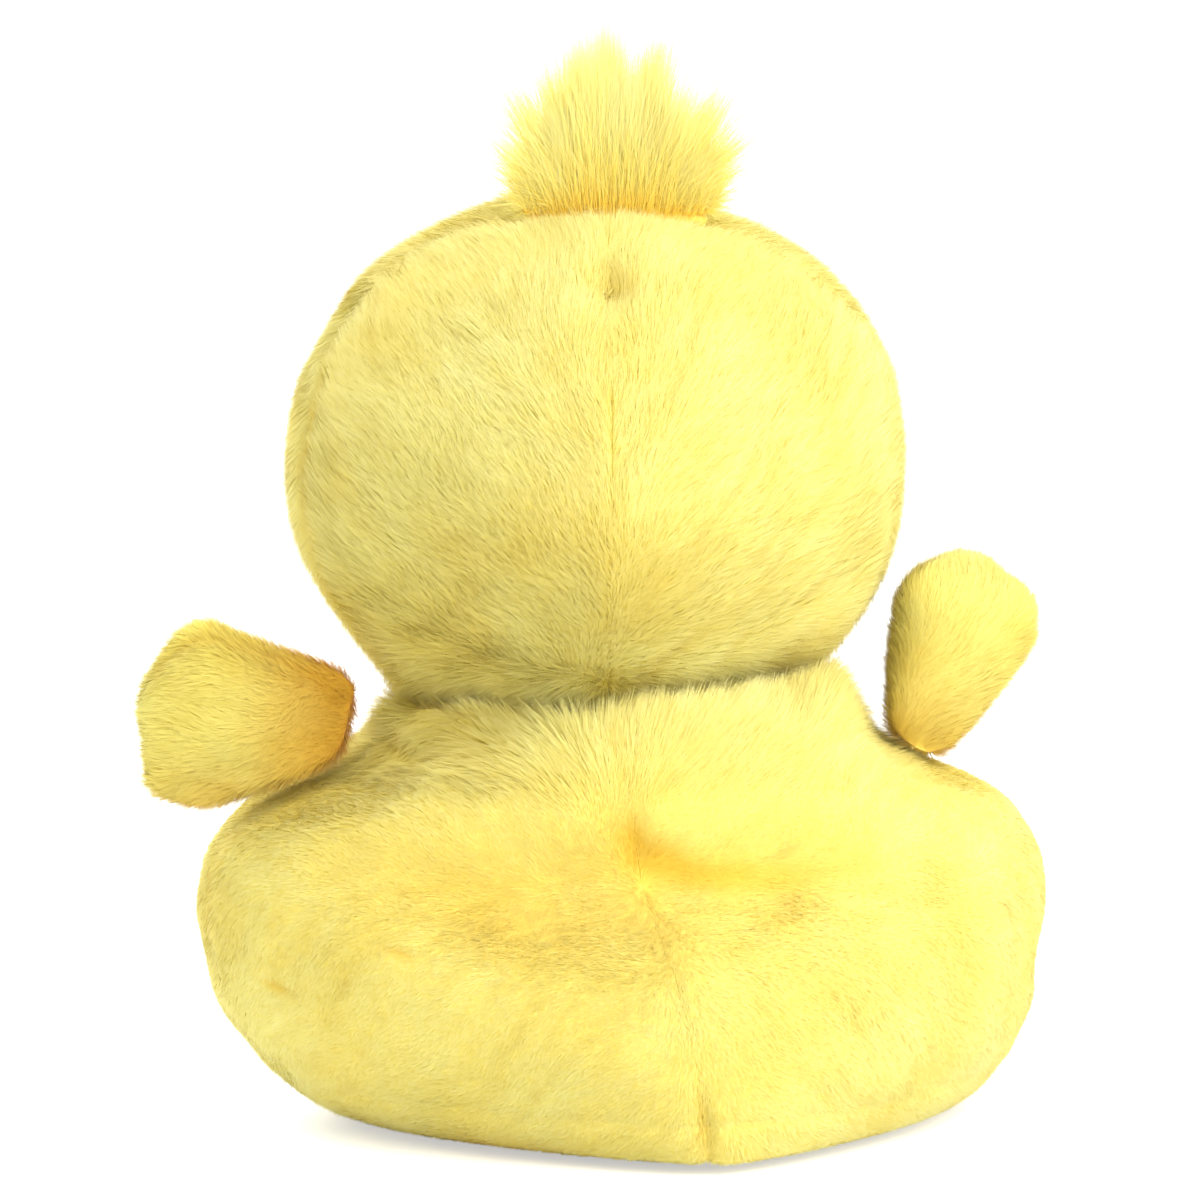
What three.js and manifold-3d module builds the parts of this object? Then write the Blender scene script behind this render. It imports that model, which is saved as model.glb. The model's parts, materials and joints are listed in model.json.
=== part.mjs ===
// A palm-sized plush duck that sits on a weighted seat. Lengths are millimetres, Z is up and the duck
// faces -Y. The origin is the middle of the flat seat. The duck's own left is +X.
import * as THREE from "three";
import { mergeVertices } from "three/addons/utils/BufferGeometryUtils.js";
import Module from "manifold-3d";

const wasm = await Module();
wasm.setup();

// Cloth, seams and running gaps
const FUR_CLOTH = 4; // long-pile fur cloth, backing and pile together
const WING_CLOTH = 3; // shorter fur cloth of the wings
const FELT_CLOTH = 1.3; // brushed orange cloth of the bill and the feet
const BAG_CLOTH = 0.8; // woven lining of the pellet bag
const SEAM_GAP = 0.3; // between two panels that one seam joins
const FILL_GAP = 0.3; // between the stuffing and the cloth round it
const SWING_GAP = 0.4; // between a piece that swings and what it swings against
const OVERRUN = 5; // how far a cutting tool runs past what it cuts
const WELD = 1e-4;

// Body
const BODY_WIDTH = 96.8;
const RUMP_DEPTH = 42; // from the middle of the seat back to the rump
const BELLY_DEPTH = 37; // and forward to the belly
const RUMP_POINT_SHARE = 0.52; // of its width, how far the rump is drawn to a point at the seat
const SEAT_DRIFT = 2.8; // how far the pellets have settled to the duck's right
const BODY_HEIGHT = 52; // of the stuffed form, before the head's hollow is pressed into it
const SEAT_SEAM_HEIGHT = 6; // of the seam round the base panel
const SIDE_SEAM_SETBACK = 2; // of the side seams, behind the middle of the seat
const BACK_SEAM_DRIFT = 1.6; // of the back seam at the seat, to the duck's right of the middle
const BACK_SEAM_LEAN = THREE.MathUtils.degToRad(8.9); // of the back seam, over to the duck's left
const FOLD_DEPTH = 2.6; // of the fold across the lower back
const FOLD_HEIGHT = 31.5;
const FOLD_SPAN = 62; // from end to end of the fold
const FOLD_BREADTH = 5; // of the fold, up and down
const BAG_HEIGHT = 17; // top of the pellet bag
const BAG_MOUTH = 14; // width of the slit that the pellets went in by
const SECTION_SPREAD_SHARE = 0.72; // 1 spaces the body's sections evenly, less crowds them at the seat

// Head and neck
const HEAD_WIDTH = 69;
const HEAD_HEIGHT = 60.6;
const CROWN_FULLNESS_SHARE = 0.95; // below 1 the head is fuller there than an ellipsoid
const CHEEK_FULLNESS_SHARE = 0.78; // and the same of its lower half
const HEAD_CENTRE_HEIGHT = 73.2;
const HEAD_AHEAD = 6; // of the head's middle, in front of the middle of the seat
const HEAD_ASIDE = 1.6; // and to the duck's left of it
const HEAD_TURN = THREE.MathUtils.degToRad(-9); // how the head is turned on the body at rest
const NOD_RANGE = THREE.MathUtils.degToRad(12); // room for the head to nod each way
const CROWN_SEAM_SETBACK = 8.5; // of the seam that crosses the crown, behind the head's middle
const NECK_RADIUS = 13; // of the hole in the cloth where the stuffing passes through
const NECK_PLUG_DEPTH = 5; // how far the neck's stuffing reaches into the body's

// Wings
const WING_LENGTH = 26.2;
const WING_WIDTH = 20.6;
const WING_THICKNESS = 12;
const WING_ROOT_RADIUS = 7.4; // of the gathered end that is sewn to the side
const WING_DROP = 8.7; // of the wings' hinges, below the top of the stuffed body
const WING_SETBACK = 1.5; // of the wings, behind the middle of the seat
const LEFT_WING_LIFT = THREE.MathUtils.degToRad(9);
const RIGHT_WING_LIFT = THREE.MathUtils.degToRad(73);
const RIGHT_WING_TWIST = THREE.MathUtils.degToRad(35); // its upper edge is turned back, past the head
const LOWEST_LIFT = THREE.MathUtils.degToRad(5); // of either wing, down on the body's side
const LEFT_HIGHEST_LIFT = THREE.MathUtils.degToRad(50);
const RIGHT_HIGHEST_LIFT = THREE.MathUtils.degToRad(77); // up against the head

// Feet
const FOOT_LENGTH = 20;
const FOOT_WIDTH = 21;
const FOOT_THICKNESS = 9;
const FOOT_SPREAD = 17; // of each foot's heel, from the middle
const FOOT_SPLAY = THREE.MathUtils.degToRad(14);
const TOE_COUNT = 3;
const TOE_DEPTH = 2.4; // of the notches between the toes
const TOE_START_SHARE = 0.35; // of the foot's length, where the notches begin
const TOE_FULL_SHARE = 0.78; // and where they are at their deepest
const FOOT_FLEX = THREE.MathUtils.degToRad(45); // how far the toes can be lifted

// Bill
const BILL_WIDTH = 21;
const BILL_LENGTH = 13; // that stands out of the face
const BILL_ROOT = 6; // that is buried in the face
const BILL_THICKNESS = 9.5;
const BILL_DROP = 5; // of the bill's middle, below the head's

// Eyes, each a dome on a ribbed stem, held by a washer behind the cloth
const EYE_RADIUS = 3.7;
const EYE_DOME = 2.9;
const EYE_SINK = 1.1; // how deep the dome sits in the pile
const DOME_STEPS = 5;
const STEM_RADIUS = 1.3;
const STEM_LENGTH = 11;
const RIB_HEIGHT = 0.3;
const RIB_PITCH = 1.2;
const RIB_EDGE_SHARE = 0.25; // of the pitch, from a rib's root up to its edge
const RIB_COUNT = 4;
const WASHER_RADIUS = 5;
const WASHER_THICKNESS = 1.1;
const WASHER_HUB = 2.6; // radius of the washer's raised hub
const WASHER_HUB_HEIGHT = 0.9;
const WASHER_GAP = 0.75; // to the cloth that it is pressed against
const STEM_CLEARANCE = 0.25;
const EYE_SPREAD = THREE.MathUtils.degToRad(31); // of each eye, round from the middle of the face
const EYE_POLAR = THREE.MathUtils.degToRad(81); // down from the crown

// Crest, a scrap of long-pile cloth caught in the crown seam
const CREST_SPAN = 21;
const CREST_HEIGHT = 22.6;
const CREST_ASIDE = 1.6; // of its middle, to the duck's right of the centre seam
const CREST_BEAD_RADIUS = 1.8; // of the rolled edge that is sewn in
const CREST_STRIP_HEIGHT = 5.4; // of the backing cloth that stands up inside the locks
const CREST_STRIP_THICKNESS = 1.8;
const CREST_SETBACK = THREE.MathUtils.degToRad(16.5); // of the seam, back from the top of the head
const CREST_LEAN = THREE.MathUtils.degToRad(-3); // of the tuft, back from upright
const CREST_SWING = THREE.MathUtils.degToRad(30); // room for the tuft to sway each way
const LOCK_RADIUS = 3.2;
const LOCK_FAN = THREE.MathUtils.degToRad(31); // lean of the outermost locks
const LOCK_STAGGER = THREE.MathUtils.degToRad(5.2); // of every other lock, forward and back
const LOCK_COUNT = 9;

// How finely the forms are faceted
const BODY_SIDES = 32;
const CORE_SIDES = 20;
const BODY_RINGS = 16;
const CORE_RINGS = 10;
const HEAD_RINGS = 13;
const HEAD_CORE_RINGS = 9;
const LIMB_SIDES = 14;
const LIMB_CORE_SIDES = 10;
const FOOT_SIDES = 20;
const LIMB_RINGS = 9;
const LIMB_CORE_RINGS = 6;
const CURVE_STEPS = 12; // between two points of a table of shares
const HOLLOW_STEPS = 24;
const WING_STOPS = 5; // along a wing's swing, where the body presses into it
const ROUND_SIDES = 24;
const SMALL_SIDES = 16;
const LOCK_SIDES = 6;

const halfTurn = Math.PI;
const quarterTurn = Math.PI / 2;
const fullTurn = Math.PI * 2;
const headCentre = new THREE.Vector3(HEAD_ASIDE, -HEAD_AHEAD, HEAD_CENTRE_HEIGHT);

const furYellow = 0xfbee84;
const feltOrange = 0xf49a2c;
const fibreWhite = 0xf4f2ec;
const liningWhite = 0xe9e6dc;
const eyeBlack = 0x17120f;
const pelletGrey = 0xc9cdd0;

// Solids

function solidOf(geometry) {
  const bare = geometry.index ? geometry.toNonIndexed() : geometry.clone();
  bare.deleteAttribute("normal");
  bare.deleteAttribute("uv");
  const merged = mergeVertices(bare, WELD);
  return new wasm.Manifold(
    new wasm.Mesh({
      numProp: 3,
      vertProperties: merged.attributes.position.array,
      triVerts: new Uint32Array(merged.index.array),
    }),
  );
}

function geometryOf(solid) {
  const mesh = solid.getMesh();
  const geometry = new THREE.BufferGeometry();
  geometry.setAttribute("position", new THREE.BufferAttribute(mesh.vertProperties, 3));
  geometry.setIndex(new THREE.BufferAttribute(mesh.triVerts, 1));
  geometry.computeVertexNormals();
  return geometry;
}

function moved(solid, matrix) {
  return solid.transform(matrix.elements);
}

// A box given by its two corners.
function block(low, high) {
  const size = new THREE.Vector3().subVectors(high, low);
  const middle = new THREE.Vector3().addVectors(low, high).divideScalar(2);
  return solidOf(new THREE.BoxGeometry(...size).translate(...middle));
}

// What is left of a solid between two heights along one axis, "x", "y" or "z".
function slab(solid, axis, from, to) {
  const box = solid.boundingBox();
  const low = new THREE.Vector3(...box.min).subScalar(OVERRUN);
  const high = new THREE.Vector3(...box.max).addScalar(OVERRUN);
  low[axis] = Math.max(low[axis], from);
  high[axis] = Math.min(high[axis], to);
  return solid.intersect(block(low, high));
}

// A round rod along Z from one height to another.
function rod(radius, from, to, sides = ROUND_SIDES) {
  const shape = new THREE.CylinderGeometry(radius, radius, to - from, sides);
  return solidOf(shape.rotateX(quarterTurn).translate(0, 0, (from + to) / 2));
}

// Stacked sections. Each ring holds its height, its half-width along X, its depths to +Y and to -Y, a
// sideways shift and how far it is drawn to a point at the back. One point closes each end.

function loft(rings, ends, sides) {
  const points = [ends[0]];
  for (const ring of rings) {
    for (let i = 0; i < sides; i++) {
      const angle = (fullTurn * i) / sides;
      const depth = Math.sin(angle) > 0 ? ring.back : ring.front;
      const drawn = Math.sin(angle) > 0 ? 1 - (ring.point ?? 0) * Math.sin(angle) ** 2 : 1;
      const across = (ring.shift ?? 0) + ring.half * drawn * Math.cos(angle);
      points.push([across, depth * Math.sin(angle), ring.height]);
    }
  }
  points.push(ends[1]);
  const faces = [];
  const last = points.length - 1;
  for (let i = 0; i < sides; i++) {
    const next = (i + 1) % sides;
    faces.push(0, 1 + next, 1 + i);
    for (let r = 0; r + 1 < rings.length; r++) {
      const low = 1 + r * sides;
      const high = low + sides;
      faces.push(low + i, low + next, high + next, low + i, high + next, high + i);
    }
    faces.push(last, last - sides + i, last - sides + next);
  }
  const geometry = new THREE.BufferGeometry();
  geometry.setAttribute("position", new THREE.Float32BufferAttribute(points.flat(), 3));
  return geometry.setIndex(faces);
}

// The rings moved in from their surface by a distance, or out if it is negative.
function inset(rings, ends, distance) {
  const outline = [{ half: 0, height: ends[0][2] }, ...rings, { half: 0, height: ends[1][2] }];
  const shifted = rings.map((ring, i) => {
    const before = outline[i];
    const after = outline[i + 2];
    const slope = new THREE.Vector2(after.half - before.half, after.height - before.height);
    slope.normalize();
    const inward = distance * slope.y;
    return {
      ...ring,
      half: ring.half - inward,
      back: ring.back - inward,
      front: ring.front - inward,
      height: ring.height + distance * slope.x,
    };
  });
  const [low, high] = ends;
  return [shifted, [[low[0], low[1], low[2] + distance], [high[0], high[1], high[2] - distance]]];
}

// A smooth curve through a table of [share along, share across] pairs, as a function of the share along. It
// never passes 1.
function curveThrough(shares) {
  const spline = new THREE.SplineCurve(shares.map(([along, across]) => new THREE.Vector2(along, across)));
  const samples = spline.getPoints(shares.length * CURVE_STEPS);
  return (along) => {
    const after = Math.max(1, samples.findIndex((p) => p.x >= along));
    const [p, q] = [samples[after - 1], samples[after]];
    const part = THREE.MathUtils.clamp((along - p.x) / Math.max(q.x - p.x, Number.EPSILON), 0, 1);
    return Math.min(1, THREE.MathUtils.lerp(p.y, q.y, part));
  };
}

// Body form: heights are shares of the body's, widths and depths of their own largest

const bodyWidthShares = [
  [0, 0.7], [0.04, 0.785], [0.08, 0.838], [0.12, 0.876], [0.21, 0.937], [0.29, 0.965], [0.385, 0.987],
  [0.48, 1], [0.575, 0.985], [0.635, 0.95], [0.675, 0.915], [0.715, 0.855], [0.755, 0.76], [0.79, 0.66],
  [0.83, 0.585], [0.88, 0.545], [1, 0.53],
];
const rumpDepthShares = [
  [0, 0.94], [0.04, 0.97], [0.12, 1], [0.22, 0.995], [0.31, 0.965], [0.43, 0.88], [0.54, 0.77],
  [0.62, 0.71], [0.69, 0.68], [0.76, 0.65], [0.84, 0.6], [0.92, 0.54], [1, 0.47],
];
const bellyDepthShares = [
  [0, 0.74], [0.04, 0.83], [0.12, 0.94], [0.22, 0.99], [0.34, 1], [0.47, 0.985], [0.6, 0.95],
  [0.72, 0.91], [0.84, 0.88], [0.92, 0.86], [1, 0.84],
];
const rumpPointShares = [[0, 1], [0.12, 0.8], [0.3, 0.5], [0.5, 0.28], [0.7, 0.1], [1, 0]];
const seatDriftShares = [[0, 1], [0.15, 0.5], [0.33, 0.05], [0.5, 0], [1, 0]];
const bodyWidthAt = curveThrough(bodyWidthShares);
const rumpDepthAt = curveThrough(rumpDepthShares);
const bellyDepthAt = curveThrough(bellyDepthShares);
const rumpPointAt = curveThrough(rumpPointShares);
const seatDriftAt = curveThrough(seatDriftShares);

// The rings lie closer together towards the seat, where the body's outline turns.
function bodyRings(count) {
  return Array.from({ length: count }, (_, i) => {
    const share = i / (count - 1);
    const low = 1 - Math.cos(share * quarterTurn);
    const eased = THREE.MathUtils.lerp(low, share, SECTION_SPREAD_SHARE);
    return {
      height: eased * BODY_HEIGHT,
      half: (bodyWidthAt(eased) * BODY_WIDTH) / 2,
      back: rumpDepthAt(eased) * RUMP_DEPTH,
      front: bellyDepthAt(eased) * BELLY_DEPTH,
      point: rumpPointAt(eased) * RUMP_POINT_SHARE,
      shift: -seatDriftAt(eased) * SEAT_DRIFT,
    };
  });
}

// Presses the fold across the lower back into the form.
function pressFold(geometry) {
  const place = geometry.attributes.position;
  for (let i = 0; i < place.count; i++) {
    const across = place.getX(i) / (FOLD_SPAN / 2);
    const up = (place.getZ(i) - FOLD_HEIGHT) / FOLD_BREADTH;
    const depth = FOLD_DEPTH * Math.exp(-(across ** 4) - up ** 2);
    if (place.getY(i) > 0) {
      place.setY(i, place.getY(i) - depth);
    }
  }
  return geometry;
}

// The whole body form, with its surface moved in by a distance.
function bodyForm(distance, rings = BODY_RINGS, sides = BODY_SIDES) {
  const ends = [[0, 0, 0], [0, 0, BODY_HEIGHT]];
  return solidOf(pressFold(loft(...inset(bodyRings(rings), ends, distance), sides)));
}

// Half-width, rump depth and belly depth of the body at a height.
function bodySection(height) {
  const share = height / BODY_HEIGHT;
  return {
    half: (bodyWidthAt(share) * BODY_WIDTH) / 2,
    back: rumpDepthAt(share) * RUMP_DEPTH,
    front: bellyDepthAt(share) * BELLY_DEPTH,
  };
}

// Head form

// The head's radius at an angle down from the crown.
function headRadius(polar) {
  const fullness = polar < quarterTurn ? CROWN_FULLNESS_SHARE : CHEEK_FULLNESS_SHARE;
  return (Math.sin(polar) ** fullness * HEAD_WIDTH) / 2;
}

function headRings(count) {
  return Array.from({ length: count }, (_, i) => {
    const polar = halfTurn - (halfTurn * (i + 1)) / (count + 1);
    const radius = headRadius(polar);
    return { height: (HEAD_HEIGHT / 2) * Math.cos(polar), half: radius, back: radius, front: radius };
  });
}

// The whole head form about its own centre, with its surface moved in by a distance.
function headForm(distance, rings = HEAD_RINGS, sides = BODY_SIDES) {
  const ends = [[0, 0, -HEAD_HEIGHT / 2], [0, 0, HEAD_HEIGHT / 2]];
  return solidOf(loft(...inset(headRings(rings), ends, distance), sides));
}

// How far out the head can reach in a direction, measured from straight down, as it nods: its longest radius
// within the nod of that direction.
function nodReach(direction) {
  const nodded =
    direction < quarterTurn
      ? Math.min(direction + NOD_RANGE, quarterTurn)
      : Math.max(direction - NOD_RANGE, quarterTurn);
  const polar = Math.atan2(Math.sin(nodded) * HEAD_HEIGHT, -Math.cos(nodded) * HEAD_WIDTH);
  return Math.hypot(headRadius(polar), (Math.cos(polar) * HEAD_HEIGHT) / 2);
}

// Everything that the head can reach as it turns and nods, and a margin round it, grown so that the flats
// clear it too.
function headSweep(margin) {
  const step = halfTurn / HOLLOW_STEPS;
  const profile = Array.from({ length: HOLLOW_STEPS + 1 }, (_, i) => {
    const clear = (nodReach(i * step) + margin) / Math.cos(step) ** 2;
    return new THREE.Vector2(clear * Math.sin(i * step), -clear * Math.cos(i * step));
  });
  profile[0].x = 0;
  profile[HOLLOW_STEPS].x = 0;
  const ball = new THREE.LatheGeometry(profile, BODY_SIDES);
  return solidOf(ball.rotateX(quarterTurn).translate(...headCentre));
}

// The point of the head's surface at an angle down from the crown and an angle round from the face, and the
// direction straight out of it.
function headSurface(polar, round) {
  const radius = headRadius(polar);
  const place = new THREE.Vector3(
    radius * Math.sin(round),
    -radius * Math.cos(round),
    (HEAD_HEIGHT * Math.cos(polar)) / 2,
  );
  const out = new THREE.Vector3(
    place.x / HEAD_WIDTH ** 2,
    place.y / HEAD_WIDTH ** 2,
    place.z / HEAD_HEIGHT ** 2,
  ).normalize();
  return { place, out };
}

// Pieces

const duck = new THREE.Group();

function piece(name, solid, colour, roughness = 1) {
  const material = new THREE.MeshStandardMaterial({ color: colour, roughness, metalness: 0 });
  const mesh = new THREE.Mesh(geometryOf(solid), material);
  mesh.name = name;
  return mesh;
}

// The body: four panels of fur cloth round a pellet bag, with stuffing on top of it.

function bodyCore(distance) {
  const core = bodyForm(distance, CORE_RINGS, CORE_SIDES);
  return core.subtract(headSweep(SWING_GAP + distance));
}

const neckBottom = HEAD_CENTRE_HEIGHT - HEAD_HEIGHT / 2 - SWING_GAP - FUR_CLOTH - NECK_PLUG_DEPTH;

// A round rod down through the neck.
function neckRod(radius, from) {
  return rod(radius, from, HEAD_CENTRE_HEIGHT).translate([headCentre.x, headCentre.y, 0]);
}

function bodyPanels() {
  const neckHole = neckRod(NECK_RADIUS, neckBottom);
  const skin = bodyForm(0).subtract(headSweep(SWING_GAP)).subtract(bodyCore(FUR_CLOTH)).subtract(neckHole);
  const upper = slab(skin, "z", SEAT_SEAM_HEIGHT + SEAM_GAP / 2, Infinity);
  const seam = new THREE.Matrix4().makeTranslation(-BACK_SEAM_DRIFT, 0, 0);
  seam.multiply(new THREE.Matrix4().makeRotationY(BACK_SEAM_LEAN));
  const back = moved(slab(upper, "y", SIDE_SEAM_SETBACK + SEAM_GAP / 2, Infinity), seam.clone().invert());
  return [
    piece("base_panel", slab(skin, "z", -Infinity, SEAT_SEAM_HEIGHT - SEAM_GAP / 2), furYellow),
    piece("belly_panel", slab(upper, "y", -Infinity, SIDE_SEAM_SETBACK - SEAM_GAP / 2), furYellow),
    piece("back_left_panel", moved(slab(back, "x", SEAM_GAP / 2, Infinity), seam), furYellow),
    piece("back_right_panel", moved(slab(back, "x", -Infinity, -SEAM_GAP / 2), seam), furYellow),
  ];
}

function shrunk(solid, distance) {
  const box = solid.boundingBox();
  const low = new THREE.Vector3(...box.min);
  const high = new THREE.Vector3(...box.max);
  const size = new THREE.Vector3().subVectors(high, low);
  const middle = new THREE.Vector3().addVectors(low, high).divideScalar(2);
  const scale = size.clone().subScalar(2 * distance).divide(size);
  const place = new THREE.Matrix4().makeTranslation(...middle);
  place.scale(scale).multiply(new THREE.Matrix4().makeTranslation(...middle.clone().negate()));
  return moved(solid, place);
}

function bodyInside() {
  const core = bodyCore(FUR_CLOTH + FILL_GAP);
  const bag = slab(core, "z", -Infinity, BAG_HEIGHT);
  const bagHole = shrunk(bag, BAG_CLOTH);
  const mouth = block(
    new THREE.Vector3(-BAG_MOUTH / 2, 0, BAG_HEIGHT - BAG_CLOTH - OVERRUN),
    new THREE.Vector3(BAG_MOUTH / 2, BAG_CLOTH, BAG_HEIGHT + OVERRUN),
  );
  const socket = neckRod(NECK_RADIUS, neckBottom);
  return [
    piece("pellet_bag", bag.subtract(bagHole).subtract(mouth), liningWhite),
    piece("pellets", shrunk(bag, BAG_CLOTH + FILL_GAP), pelletGrey, 0.5),
    piece("body_fill", slab(core, "z", BAG_HEIGHT + FILL_GAP, Infinity).subtract(socket), fibreWhite),
  ];
}

// The neck's stuffing stands in the body's and ends in a hollow that the head's stuffing rolls on.
function neckFill() {
  const plug = neckRod(NECK_RADIUS - FILL_GAP, neckBottom + FILL_GAP);
  return piece("neck_fill", plug.subtract(headSweep(SWING_GAP)), fibreWhite);
}

// The head, about its own centre

function eyeFrame(side) {
  const { place, out } = headSurface(EYE_POLAR, side * EYE_SPREAD);
  const turn = new THREE.Quaternion().setFromUnitVectors(new THREE.Vector3(0, 0, 1), out);
  return new THREE.Matrix4().compose(place, turn, new THREE.Vector3(1, 1, 1));
}

// The rolled edge of the crest lies along X in a frame on the crown.
function crestFrame() {
  const { place } = headSurface(CREST_SETBACK, halfTurn);
  place.x -= CREST_ASIDE;
  place.z -= CREST_BEAD_RADIUS;
  const turn = new THREE.Quaternion().setFromEuler(new THREE.Euler(CREST_LEAN, 0, 0));
  return new THREE.Matrix4().compose(place, turn, new THREE.Vector3(1, 1, 1));
}

// The room in the crown for the crest's rolled edge and for its sway.
function crestRoom() {
  const length = CREST_SPAN + 2 * SWING_GAP;
  const radius = CREST_BEAD_RADIUS + SWING_GAP;
  const reach = 2 * CREST_BEAD_RADIUS + OVERRUN;
  const outline = new THREE.Shape([
    new THREE.Vector2(-radius, 0),
    new THREE.Vector2(radius, 0),
    new THREE.Vector2(radius + reach * Math.tan(CREST_SWING), reach),
    new THREE.Vector2(-radius - reach * Math.tan(CREST_SWING), reach),
  ]);
  const wedge = new THREE.ExtrudeGeometry(outline, { depth: length, bevelEnabled: false });
  wedge.translate(0, 0, -length / 2).rotateX(quarterTurn).rotateZ(quarterTurn);
  const groove = new THREE.CylinderGeometry(radius, radius, length, SMALL_SIDES).rotateZ(quarterTurn);
  return moved(solidOf(wedge).add(solidOf(groove)), crestFrame());
}

function headCore(distance) {
  return headForm(distance, HEAD_CORE_RINGS, CORE_SIDES);
}

// The bill's cloth wraps a flattened form that points along -Y and is buried in the face at its root.
const billWidthShares = [[0, 0.8], [0.25, 0.9], [0.5, 0.98], [0.7, 1], [0.85, 0.86], [0.95, 0.55], [1, 0.25]];
const billThicknessShares = [[0, 1], [0.25, 1], [0.5, 0.86], [0.7, 0.7], [0.85, 0.54], [0.95, 0.36], [1, 0.2]];

function billForm(distance, rings, sides) {
  const length = BILL_ROOT + BILL_LENGTH;
  const widthAt = curveThrough(billWidthShares);
  const thicknessAt = curveThrough(billThicknessShares);
  const sections = Array.from({ length: rings }, (_, i) => {
    const share = i / (rings - 1);
    const thick = (thicknessAt(share) * BILL_THICKNESS) / 2;
    return { height: share * length, half: (widthAt(share) * BILL_WIDTH) / 2, back: thick, front: thick };
  });
  const shape = loft(...inset(sections, [[0, 0, 0], [0, 0, length]], distance), sides);
  const root = -HEAD_WIDTH / 2 + BILL_ROOT;
  return solidOf(shape.rotateX(quarterTurn).translate(0, root, -BILL_DROP));
}

function headPanels() {
  const skin = headForm(0)
    .subtract(headCore(FUR_CLOTH))
    .subtract(rod(NECK_RADIUS, -HEAD_HEIGHT, -HEAD_HEIGHT / 2 + FUR_CLOTH + OVERRUN))
    .subtract(crestRoom());
  const back = slab(skin, "y", CROWN_SEAM_SETBACK + SEAM_GAP / 2, Infinity);
  let face = slab(skin, "y", -Infinity, CROWN_SEAM_SETBACK - SEAM_GAP / 2);
  face = face.subtract(billForm(-SEAM_GAP, LIMB_RINGS, LIMB_SIDES));
  for (const side of [1, -1]) {
    const seat = rod(EYE_RADIUS + SEAM_GAP, -EYE_SINK, OVERRUN, SMALL_SIDES);
    const hole = rod(STEM_RADIUS + STEM_CLEARANCE, -STEM_LENGTH, 0, SMALL_SIDES);
    face = face.subtract(moved(seat.add(hole), eyeFrame(side)));
  }
  return [
    piece("face_panel", face, furYellow),
    piece("head_back_left_panel", slab(back, "x", SEAM_GAP / 2, Infinity), furYellow),
    piece("head_back_right_panel", slab(back, "x", -Infinity, -SEAM_GAP / 2), furYellow),
  ];
}

// The washer lies against the back of the face's cloth, whose hollow it spans.
const washerDepth =
  FUR_CLOTH + WASHER_GAP + HEAD_HEIGHT / 2 - Math.sqrt((HEAD_HEIGHT / 2) ** 2 - WASHER_RADIUS ** 2);

// The head's stuffing bulges down through the neck in a ball about the head's middle, so that it rolls on the
// neck's stuffing as the head turns and nods.
function headFill() {
  const rolling = new THREE.SphereGeometry(nodReach(0), BODY_SIDES, BODY_SIDES / 2).rotateX(quarterTurn);
  const neckBoss = rod(NECK_RADIUS - FILL_GAP, -HEAD_HEIGHT, 0).intersect(solidOf(rolling));
  let fill = headCore(FUR_CLOTH + FILL_GAP).add(neckBoss).subtract(crestRoom());
  fill = fill.subtract(billForm(-FILL_GAP, LIMB_RINGS, LIMB_SIDES));
  for (const side of [1, -1]) {
    const room = rod(WASHER_RADIUS + FILL_GAP, -STEM_LENGTH - EYE_SINK - FILL_GAP, 0, SMALL_SIDES);
    fill = fill.subtract(moved(room, eyeFrame(side)));
  }
  return piece("head_fill", fill, fibreWhite);
}

function bill() {
  const behindFace = headCore(FUR_CLOTH + FILL_GAP);
  const hollow = billForm(FELT_CLOTH, LIMB_CORE_RINGS, LIMB_CORE_SIDES);
  const skin = billForm(0, LIMB_RINGS, LIMB_SIDES).subtract(behindFace).subtract(hollow);
  const fill = billForm(FELT_CLOTH + FILL_GAP, LIMB_CORE_RINGS, LIMB_CORE_SIDES).subtract(behindFace);
  return [
    piece("bill_top_panel", slab(skin, "z", -BILL_DROP + SEAM_GAP / 2, Infinity), feltOrange),
    piece("bill_bottom_panel", slab(skin, "z", -Infinity, -BILL_DROP - SEAM_GAP / 2), feltOrange),
    piece("bill_fill", fill, fibreWhite),
  ];
}

// One safety eye: a dome that thins to its rim, and a stem whose ribs the washer is pushed over.
function eye(side, name) {
  const root = STEM_RADIUS - RIB_HEIGHT;
  const profile = [new THREE.Vector2(0, -STEM_LENGTH), new THREE.Vector2(root, -STEM_LENGTH)];
  for (let i = 0; i < RIB_COUNT; i++) {
    const at = -STEM_LENGTH + RIB_PITCH * (i + 1);
    profile.push(new THREE.Vector2(STEM_RADIUS, at - RIB_PITCH * RIB_EDGE_SHARE));
    profile.push(new THREE.Vector2(root, at));
  }
  profile.push(new THREE.Vector2(root, 0), new THREE.Vector2(EYE_RADIUS, 0));
  const dome = new THREE.EllipseCurve(0, 0, EYE_RADIUS, EYE_DOME, 0, quarterTurn).getPoints(DOME_STEPS);
  profile.push(...dome.slice(1, -1), new THREE.Vector2(0, EYE_DOME));
  const turned = new THREE.LatheGeometry(profile, ROUND_SIDES).rotateX(quarterTurn);
  turned.translate(0, 0, -EYE_SINK + SEAM_GAP);
  const mesh = piece(name, solidOf(turned), eyeBlack, 0.12);
  mesh.applyMatrix4(eyeFrame(side));
  return mesh;
}

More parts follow.
